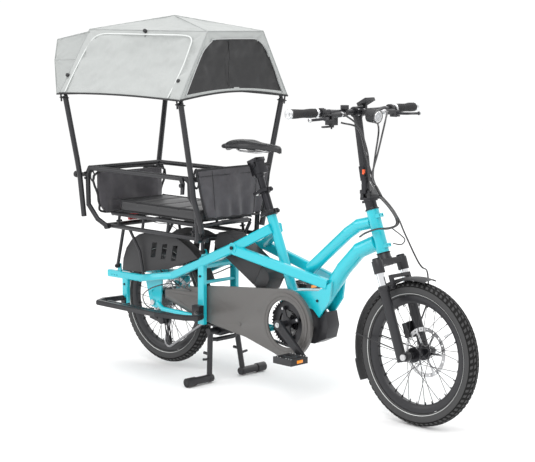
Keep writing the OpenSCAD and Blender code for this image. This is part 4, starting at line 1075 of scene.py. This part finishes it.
add_mesh("canopy_zips", join(zips), material("canopy_zip", (0.66, 0.68, 0.67), rough=0.6), "frame")
add_mesh("canopy_toggles", join(toggles), "plastic", "frame")

# ---------------------------------------------------------------- saddle
SADDLE_REAR, SADDLE_NOSE = 0.383, 0.639
# Stations: fraction of the length from the rear, then the value there
SADDLE_HALF = ([0, 0.08, 0.2, 0.34, 0.48, 0.62, 0.8, 0.93, 1.0],
               [0.045, 0.070, 0.0745, 0.063, 0.042, 0.030, 0.0235, 0.018, 0.006])
SADDLE_TOP = ([0, 0.1, 0.3, 0.55, 0.8, 0.95, 1.0],
              [0.952, 0.9605, 0.962, 0.955, 0.951, 0.947, 0.940])
SADDLE_DEPTH = ([0, 0.35, 0.6, 1.0], [0.030, 0.026, 0.018, 0.014])
SADDLE_RAIL = [(418, 30, 938), (436, 24, 921), (470, 22, 918.5), (540, 22, 918.5),
               (580, 12, 928), (606, 6, 938)]  # left rail, millimetres


def saddle_station(u):
    """Length position, half width and top height at fraction u from the rear."""
    return (SADDLE_REAR + (SADDLE_NOSE - SADDLE_REAR) * u, np.interp(u, *SADDLE_HALF),
            np.interp(u, *SADDLE_TOP))


def saddle_point(u, angle):
    x, half, top = saddle_station(u)
    cosine, sine = math.cos(angle), math.sin(angle)
    y = half * abs(cosine) ** 0.75 * (1 if cosine > 0 else -1)
    z = top - 0.012
    if sine >= 0:
        channel = max(0, math.sin(math.pi * min(1, max(0, (u - 0.12) / 0.6))))
        z += 0.012 * abs(sine) ** 0.6
        z -= 0.0035 * math.exp(-(y / 0.009) ** 2) * channel
        z -= 0.010 * (abs(y) / max(half, 1e-6)) ** 3 * (half / 0.075)
    else:
        z -= (np.interp(u, *SADDLE_DEPTH) * abs(sine) ** 0.55
              * (0.55 + 0.45 * abs(cosine) ** 0.5))
    return vec(x, y, z)


def saddle():
    length_steps, sides = 60, 28
    points = [saddle_point(i / length_steps, 2 * math.pi * j / sides)
              for i in range(length_steps + 1) for j in range(sides)]
    faces = [face[::-1] for face in capped_faces(length_steps + 1, sides)]
    cover = add_mesh("saddle_cover", (points, faces), "vinyl", "post_top")
    subdivide(cover, "s")
    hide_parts("saddle")
    stitching, rails = [], []
    for side in SIDES:
        line = []
        for u in np.linspace(0.05, 0.97, 50):
            x, half, top = saddle_station(u)
            line.append(vec(x, side * half * 0.86, top - 0.0055 - 0.006 * (half / 0.075)))
        stitching.append(sweep(line, 0.0010, 6))
        rails.append(sweep(catmull([mm(x, y * side, z) for x, y, z in SADDLE_RAIL]), 0.0035, 12))
    add_mesh("saddle_stitching", join(stitching), "binding", "post_top")
    add_mesh("saddle_rails", join(rails), "steel", "post_top")
    bumper = [vec(SADDLE_REAR + 0.006, 0.064 * math.cos(a), 0.936 + 0.006 * math.sin(a))
              for a in turn(30)]
    add_mesh("saddle_bumper", sweep(bumper, 0.006, 8, True, 0.8), "plastic", "post_top")


saddle()

# ---------------------------------------------------------------- grips
GRIP_END = mm(1006, 343, 1100)  # outer end of the left grip
GRIP_OUT = unit(GRIP_END - mm(1018, 150, 1099))
GRIP_START, GRIP_LENGTH = 8, 118  # millimetres inwards from the outer end
GRIP_RINGS, GRIP_SIDES = 54, 32
OUTER_COLLAR = [(0, 0.0165), (0.009, 0.0168), (0.0125, 0.0155), (0.0132, 0.011),
                (0.012, 0.010), (0.012, 0)]
INNER_COLLAR = [(0, 0.0165), (0.008, 0.0168), (0.0095, 0.015), (0.0095, 0.0115)]


def grip(side):
    """Ribbed grip with a palm wing towards the rider."""
    mirror = vec(1, side, 1)
    palm, other = across(GRIP_OUT * mirror, vec(-1, 0, 0.12))
    points = []
    for i in range(GRIP_RINGS + 1):
        f = i / GRIP_RINGS
        centre = (GRIP_END - GRIP_OUT * (GRIP_START + GRIP_LENGTH * i / GRIP_RINGS) / 1000) * mirror
        wing = 0.011 * math.exp(-((f - 0.16) / 0.20) ** 2)
        rib = 0.0
        if 0.08 < f < 0.92:
            rib = 0.0005 if int(f * 40) % 2 else -0.0005
        for k in range(GRIP_SIDES):
            a = 2 * math.pi * k / GRIP_SIDES
            radius = (0.0155 + 0.0008 * math.sin(f * math.pi * 3)
                      + wing * max(0, math.cos(a)) ** 3
                      + rib * (0.3 + 0.7 * max(0, -math.cos(a))))
            points.append(centre + radius * (math.cos(a) * palm + math.sin(a) * other))
    return points, capped_faces(GRIP_RINGS + 1, GRIP_SIDES)


collars = []
for side in SIDES:
    mirror = vec(1, side, 1)
    outward = GRIP_OUT * mirror
    collars.append(lathe((GRIP_END - GRIP_OUT * 0.008) * mirror, outward, OUTER_COLLAR))
    collars.append(lathe((GRIP_END - GRIP_OUT * 0.1265) * mirror, -outward, INNER_COLLAR))
    collars.append(bolt((GRIP_END - GRIP_OUT * 0.131) * mirror + vec(0, 0, -0.0165),
                        (0, 0, -1), 0.0026))
grips = add_mesh("grips_rubber", join([grip(side) for side in SIDES]), "grip", "bar_post")
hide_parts("grips")
add_mesh("grip_collars", join(collars), "alu", "bar_post")

# ---------------------------------------------------------------- cockpit
LEVER_BALL = [(-0.0070, 0), (-0.006, 0.0045), (-0.002, 0.0074), (0.002, 0.0076),
              (0.006, 0.0052), (0.0078, 0)]
LEVER_BLADE = [(1048, 192, 1084), (1062, 206, 1083), (1070, 226, 1082), (1066, 262, 1081),
               (1063, 292, 1080)]  # left lever, millimetres
for side, body in ((1, "brake_l"), (-1, "brake_r")):
    add_mesh("lever_end_" + body, lathe(mm(1063, side * 296, 1080), (0.05, side, 0), LEVER_BALL,
                                        20), "alu", body)
    blade = catmull([mm(x, side * y, z) for x, y, z in LEVER_BLADE], 10)
    add_mesh("lever_blade_" + body, sweep(blade, 0.0062, 12, False, 0.75, up=(0, 0, 1)),
             "anod", body)

# Clamp screws and stepped barrels by the levers, and four screws at the middle of the bar
BARREL = [(0, 0.0095), (0.004, 0.0098), (0.010, 0.0082), (0.012, 0.0045), (0.022, 0.004),
          (0.022, 0)]
screws = []
for side in SIDES:
    screws.append(bolt(mm(1030, side * 184, 1113), (0, 0, 1), 0.003))
    screws.append(lathe(mm(1046, side * 120, 1092), (0.05, -side, 0.1), BARREL, 20))
for y in (-15, 15):
    screws.append(bolt(mm(1039, y, 1104), (0, 0, 1), 0.004))
    screws.append(bolt(mm(1039, y, 1088), (0, 0, -1), 0.004))
add_mesh("cockpit_screws", join(screws), "steel", "bar_post")

# Display, tilted back to face the rider
DISPLAY_CENTRE = mm(1026, 34, 1123)
DISPLAY_TILT = math.radians(-28)
TILT = np.array([[math.cos(DISPLAY_TILT), 0, math.sin(DISPLAY_TILT)], [0, 1, 0],
                 [-math.sin(DISPLAY_TILT), 0, math.cos(DISPLAY_TILT)]])


def display_box(offset, half, bevel):
    return rounded_box(DISPLAY_CENTRE + TILT @ mm(*offset), half, bevel, TILT)


add_mesh("display_glass", display_box((5, 2, 12.2), (0.0205, 0.0235, 0.0008), 0.0007),
         "gloss", "bar_post")
marks = [display_box((-8 + k * 3.2, -8, 13.3), (0.0010, 0.006 + 0.001 * k, 0.0002), 0.0001)
         for k in range(5)]
marks.append(display_box((14, 4, 13.3), (0.004, 0.012, 0.0002), 0.0001))
add_mesh("display_marks", join(marks), "screen", "bar_post")

# Headlight, dipped below level
LAMP_ANGLE = math.radians(96)  # from straight up
LAMP_AXIS = vec(math.sin(LAMP_ANGLE), 0, math.cos(LAMP_ANGLE))
LAMP_CENTRE = mm(1082, 0, 1086)
# Name, material, distance along the axis, segments, profile
for name, finish, along, segments, profile in (
        ("bowl", "glow", 0.0285, 36, [(0, 0), (0.0005, 0.006), (0.003, 0.012), (0.0075, 0.0205)]),
        ("lens", "lens", 0.0335, 36, [(-0.003, 0.0207), (0.0008, 0.0206), (0.0024, 0.017),
                                      (0.0034, 0.010), (0.0038, 0)]),
        ("bezel", "gloss", 0.030, 40, [(0, 0.0252), (0.004, 0.0256), (0.006, 0.0248),
                                       (0.006, 0.0212), (0.003, 0.0209)])):
    add_mesh("headlight_" + name, lathe(LAMP_CENTRE + LAMP_AXIS * along, LAMP_AXIS, profile,
                                        segments), finish, "bar_post")

# ---------------------------------------------------------------- cables, in millimetres
BEND_Z = 805  # height where upper and lower runs meet
CABLE_RADIUS = 0.0034


def cable(name, points, radius, body=None, blend=None):
    """Cable that rides one body; with `blend` it is left unparented, and the bodies and points
    given in `blend` are not used.
    """
    path = catmull([mm(*p) for p in points], 10)
    made = add_mesh(name, sweep(path, radius, 10), "gloss", body)
    if blend:
        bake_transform(made)


# Letter, shift along x, y of the run, first three points
CABLE_RUNS = [
    ("a", 8, -26, [(1060, -118, 1094), (1086, -70, 1050), (1098, -34, 960)]),
    ("b", 14, -18, [(1060, 118, 1094), (1090, 66, 1046), (1102, 20, 955)]),
    ("c", 3, -10, [(1030, -100, 1062), (1076, -58, 1040), (1094, -38, 950)]),
    ("d", -4, -2, [(1024, 96, 1070), (1078, 50, 1030), (1098, 10, 945)]),
]
for letter, shift, y, start in CABLE_RUNS:
    cable("cable_upper_" + letter,
          start + [(1101 + shift * 0.5, y, 870), (1120 + shift, y, 832), (1140 + shift, y, BEND_Z)],
          CABLE_RADIUS, blend=("bar_post", "steer", (1.09, 0, 0.86), (1.12, 0, 0.815)))
for k, (letter, shift, y, _) in enumerate(CABLE_RUNS[:1] + CABLE_RUNS[2:]):
    cable("cable_lower_" + letter,
          [(1140 + shift, y, BEND_Z), (1186 + shift, y - 2, 772), (1222 + shift, y - 6, 738),
           (1228 + shift, y - 8, 712), (1200 + shift, y - 16, 696), (1150, -34 - 2 * k, 688),
           (1096, -32 - 2 * k, 668), (1062, -27, 650)],
          CABLE_RADIUS, blend=("steer", "frame", (1.225, 0, 0.71), (1.13, 0, 0.68)))
cable("hose_front", [(1140, -14, BEND_Z), (1188, -16, 770), (1230, -18, 736), (1260, -20, 690),
                     (1289, -20, 645)], 0.0031, "steer")
cable("hose_front_low",
      [(1289, -20, 645), (1308, -17, 612), (1320, -8, 584), (1324, 8, 566), (1320, 36, 553),
       (1310, 58, 524), (1298, 76, 480), (1284, 90, 430), (1270, 90, 390), (1258, 84, 350)],
      0.0031, blend=("steer", "lowers", (1.289, -0.020, 0.645), (1.322, 0.0, 0.572)))
cable("hose_loop", [(1203, -24, 700), (1225, -27, 690), (1250, -24, 676), (1262, -16, 660),
                    (1240, -8, 640), (1205, -10, 640)], 0.0022, "steer")
cable("shift_cable", [(230, -84, 352), (124, -90, 366), (40, -92, 348), (-20, -94, 322),
                      (-52, -92, 294), (-44, -88, 262), (-14, -84, 246), (6, -80, 236)],
      0.0024, "frame")
cable("light_wire", [(-200, 20, 600), (-180, 40, 590), (-150, 70, 572), (-110, 100, 566),
                     (-60, 112, 540), (-40, 110, 482), (-22, 106, 398)], 0.0015, "frame")
cable("rear_brake_hose", [(300, 74, 440), (200, 72, 398), (110, 74, 372), (60, 84, 356),
                          (20, 92, 332), (-10, 84, 318)], 0.0025, "frame")

# ---------------------------------------------------------------- pedals, cranks and rotors
CRANK_ANGLE = math.radians(-40)
CRANK_LENGTH = 160  # millimetres
PIN_PROFILE = [(-0.001, 0.0022), (0.0018, 0.0018), (0.0022, 0.0010), (0.0022, 0)]
AXLE_END = [(-0.001, 0.0075), (0.001, 0.0075), (0.0014, 0.006)]
for side, body in ((1, "pedal_r"), (-1, "pedal_l")):  # 1 is the right pedal, at -Y
    pedal_x, _, pedal_z = around(CRANK_X, CRANK_Z, side * CRANK_LENGTH, CRANK_ANGLE)
    reflectors = [rounded_box(mm(pedal_x + end * 44.6, -side * 168, pedal_z),
                              (0.0022, 0.0152, 0.0056), 0.0008) for end in (-1, 1)]
    add_mesh("reflectors_" + body, join(reflectors), "amber", body)
    pins = [lathe(mm(pedal_x + x, -side * (y + 0.5), pedal_z + z * 11.8), (0, 0, z),
                  PIN_PROFILE, 10)
            for x in (-40, -28, -14, 14, 28, 40) for y in (128.5, 207.5) for z in (-1, 1)]
    add_mesh("pedal_pins_" + body, join(pins), "steel", body)
    add_mesh("crank_bolts_" + body, join([
        lathe(mm(pedal_x, -side * 112.6, pedal_z), (0, side, 0), AXLE_END, 20),
        bolt(mm(CRANK_X, -side * 113, CRANK_Z), (0, -side, 0), 0.010, 0.004)]), "steel", "crank")
add_mesh("chainring_bolts", join([
    bolt(around(CRANK_X, CRANK_Z, 58, math.radians(i * 90 + 20), -65) / 1000, (0, -1, 0),
         0.0052, 0.003) for i in range(4)]), "steel", "crank")
for x, z, y, body in ((FRONT_X, FRONT_RADIUS, 0.0412, "front_wheel"),
                      (0, REAR_Z, 0.0522, "rear_wheel")):
    add_mesh("rotor_bolts_" + body, join([
        bolt(around(x, z, 0.022, math.radians(i * 60 + 30), y), (0, 1, 0), 0.0034, 0.002)
        for i in range(6)]), "steel", body)

# Motor cover rings, right and left
add_mesh("motor_ring", lathe(mm(CRANK_X, -41.2, CRANK_Z), (0, -1, 0), [
    (0, 0.060), (0.002, 0.060), (0.003, 0.057), (0.003, 0.040), (0.001, 0.038),
    (0.001, 0.022)], 64), "gloss", "frame")
add_mesh("motor_ring_left", lathe(mm(CRANK_X, 41.2, CRANK_Z), (0, 1, 0), [
    (0, 0.060), (0.003, 0.059), (0.005, 0.052), (0.005, 0.030), (0.002, 0.022)], 64),
    "gloss", "frame")

# Chain guard ribs in millimetres: height, rear x, front x, rise per x
ribs = []
for z, rear_x, front_x, rise in ((352, 90, 330, 0.10), (338, 84, 300, 0.06), (326, 80, 270, 0.02)):
    ribs.append(sweep([mm(x, -75.5, z + (x - 90) * rise)
                       for x in np.linspace(rear_x, front_x, 30)], 0.0009, 6))
ribs.append(sweep([around(CRANK_X + 4, CRANK_Z, 104, a, -79.4) / 1000 for a in turn(90)],
                  0.0012, 6, True))
add_mesh("guard_ribs", join(ribs), "guard", "frame")

# Bolts on each side in millimetres: x, y, z, head radius in metres, 1 if it points up
FRAME_BOLTS = [
    (-203, 106.2, 402, 0.0058, 0), (314, 106.4, 518, 0.0058, 0), (300, 100.3, 300, 0.005, 0),
    (300, 100.3, 420, 0.0046, 0), (-160, 99.4, 330, 0.0046, 0), (478, 100, 552, 0.007, 0),
    (650, 40.5, 318, 0.005, 0), (700, 40.5, 385, 0.005, 0), (872, 40.5, 392, 0.005, 0),
    (384, 54, 226.6, 0.005, 1), (330, 34.5, 200, 0.006, 0)]
add_mesh("frame_bolts", join([
    bolt(mm(x, side * y, z), (0, side * (1 - upright), upright), radius)
    for side in SIDES for x, y, z, radius, upright in FRAME_BOLTS]), "anod", "frame")

# ---------------------------------------------------------------- headset and fork
STEER_TILT = math.radians(20)
STEER_UP = vec(-math.sin(STEER_TILT), 0, math.cos(STEER_TILT))
STEER_FORWARD = vec(math.cos(STEER_TILT), 0, math.sin(STEER_TILT))
STEER_BASE = mm(1152, 0, 597)
add_mesh("headset_rings", join([
    lathe(STEER_BASE + STEER_UP * 0.1612, STEER_UP,
          [(0, 0.0262), (0.003, 0.0262), (0.0045, 0.0248), (0.0045, 0.020)], 40),
    lathe(STEER_BASE - STEER_UP * 0.0002, -STEER_UP, [(-0.003, 0.0262), (0, 0.0264)], 40)]),
    "anod", "frame")
add_mesh("steerer_spacer", lathe(STEER_BASE + STEER_UP * 0.166, STEER_UP, [
    (0, 0.0185), (0.0015, 0.0192), (0.004, 0.0192), (0.0048, 0.0185)], 40), "anod", "steer")


def on_fork_legs(down, profile, segments):
    """The same turned part on both legs, `down` metres below the steering base."""
    return join([lathe(STEER_BASE + STEER_FORWARD * 0.018 + vec(0, side * 0.066, 0)
                       - STEER_UP * down, STEER_UP, profile, segments) for side in SIDES])


add_mesh("fork_seals", on_fork_legs(0.1242, [
    (0, 0.0185), (0.002, 0.0200), (0.006, 0.0200), (0.009, 0.0175), (0.0095, 0.0146)], 32),
    "plastic", "lowers")
add_mesh("fork_top_caps", on_fork_legs(0.0186, [
    (0, 0.0155), (0.003, 0.0150), (0.0045, 0.012), (0.0045, 0.006), (0.002, 0.005),
    (0.002, 0)], 24), "anod", "steer")

# ---------------------------------------------------------------- small frame parts
# Flat strip on the right of the down tube
STRIP = [mm(905, -24.5, 437), mm(965, -25.5, 520), mm(1030, -25, 586), mm(1080, -24, 612)]
add_mesh("down_tube_strip", sweep(catmull(STRIP, 12), 0.010, 12, False, 0.28, up=(0, 1, 0)),
         "plastic", "frame")
add_mesh("rear_light_ribs", join([
    rounded_box(mm(-214.6, y, 603), (0.0022, 0.0035, 0.0125), 0.0012)
    for y in np.linspace(-28, 28, 8)]), "red", "frame")

# Rubber sleeves on the stand feet, with seven ribs
SLEEVE = [(0, 0.0150)]
for k in range(7):
    for along, dip in ((0, 0), (0.003, 0), (0.0036, 0.0012), (0.0050, 0.0012)):
        SLEEVE.append((0.002 + 0.0055 * k + along, 0.0179 - dip))
SLEEVE += [(0.0425, 0.0165), (0.0425, 0.006), (0.040, 0)]
add_mesh("stand_foot_rubber", join([lathe(mm(345, side * 172, 18), (0, side, 0), SLEEVE)
                                    for side in SIDES]), "grip", "stand")
RAIL_CAP = [(-0.010, 0.0125), (0, 0.0142), (0.006, 0.0135), (0.010, 0.010), (0.012, 0.004),
            (0.012, 0)]
add_mesh("rail_end_caps", join([lathe(mm(-352, side * 190, 780), (-1, 0, -0.05), RAIL_CAP, 28)
                                for side in SIDES]), "plastic", "frame")


def weld_bead(centre, axis, radius, count=72):
    """Rippled ring round a joint."""
    axis = unit(vec(*axis))
    first, second = across(axis, vec(0, 1, 0) if abs(axis[1]) < 0.9 else vec(1, 0, 0))
    path = [centre + radius * (math.cos(a) * first + math.sin(a) * second) for a in turn(count)]
    return sweep(path, [0.0021 + 0.0005 * (k % 2) for k in range(count)], 7, True)


beads = [weld_bead(mm(1083, 0, 699.5), (63, 0, 16), 0.0195),
         weld_bead(mm(1098, 0, 623), (82, 0, 38), 0.027)]
for side in SIDES:
    beads.append(weld_bead(mm(300, side * 77, 264), (0, side, 0), 0.0098, 40))
    beads.append(weld_bead(mm(300, side * 77, 462), (0, side, 0), 0.0148, 50))
add_mesh("weld_beads", join(beads), "frame", "frame")

# ---------------------------------------------------------------- floor, light, camera
FLOOR_STEPS = 40
floor_points = [vec(-9 + 22 * i / FLOOR_STEPS, -11 + 24 * j / FLOOR_STEPS, -0.0015)
                for j in range(FLOOR_STEPS + 1) for i in range(FLOOR_STEPS + 1)]
floor = add_mesh("studio_floor", (floor_points, grid_faces(FLOOR_STEPS, FLOOR_STEPS)),
                 material("floor_white", (0.965, 0.965, 0.965), rough=0.95, grain=3, bump=0.0,
                          vary=0.002, spec=0.0))


def area_light(name, place, target, size, power):
    light = bpy.data.lights.new(name, "AREA")
    light.shape = "RECTANGLE"
    light.size, light.size_y = size
    light.energy = power
    lamp = bpy.data.objects.new(name, light)
    SCENE.collection.objects.link(lamp)
    lamp.location = place
    lamp.rotation_euler = (Vector(target) - Vector(place)).to_track_quat("-Z", "Y").to_euler()


area_light("key", (2.6, -3.2, 4.6), target=(0.5, 0, 0.6), size=(3.4, 3.4), power=105)
area_light("fill_left", (-3.4, -3.6, 2.8), target=(0.4, 0, 0.6), size=(3.0, 3.0), power=38)
area_light("rim", (0.5, 4.6, 3.6), target=(0.5, 0, 0.7), size=(5.0, 2.5), power=50)
area_light("top", (0.5, 0.0, 5.4), target=(0.5, 0, 0), size=(5.0, 4.0), power=70)

world = bpy.data.worlds.new("studio")
SCENE.world = world
world.use_nodes = True
background = world.node_tree.nodes["Background"]
background.inputs["Color"].default_value = (1, 1, 1, 1)
background.inputs["Strength"].default_value = 1.03
SCENE.view_settings.view_transform = "Standard"
SCENE.view_settings.look = "None"
SCENE.render.film_transparent = False

CAMERA_PLACE = vec(4.62955738, -4.13048156, 1.43602082)
CAMERA_VIEW = unit(vec(-0.69395694, 0.70629744, -0.13988459))
CAMERA_ROLL = math.radians(0.33)
lens = bpy.data.cameras.new("camera")
lens.sensor_width = 36
lens.lens = 102.7589585
lens.clip_start = 0.1
lens.clip_end = 60
camera = bpy.data.objects.new("camera", lens)
SCENE.collection.objects.link(camera)
SCENE.camera = camera
level_right = unit(np.cross(CAMERA_VIEW, vec(0, 0, 1)))
level_up = np.cross(level_right, CAMERA_VIEW)
right = math.cos(CAMERA_ROLL) * level_right + math.sin(CAMERA_ROLL) * level_up
upward = math.cos(CAMERA_ROLL) * level_up - math.sin(CAMERA_ROLL) * level_right
pose = np.column_stack([right, upward, -CAMERA_VIEW, CAMERA_PLACE])
camera.matrix_world = Matrix(pose.tolist() + [[0, 0, 0, 1]])
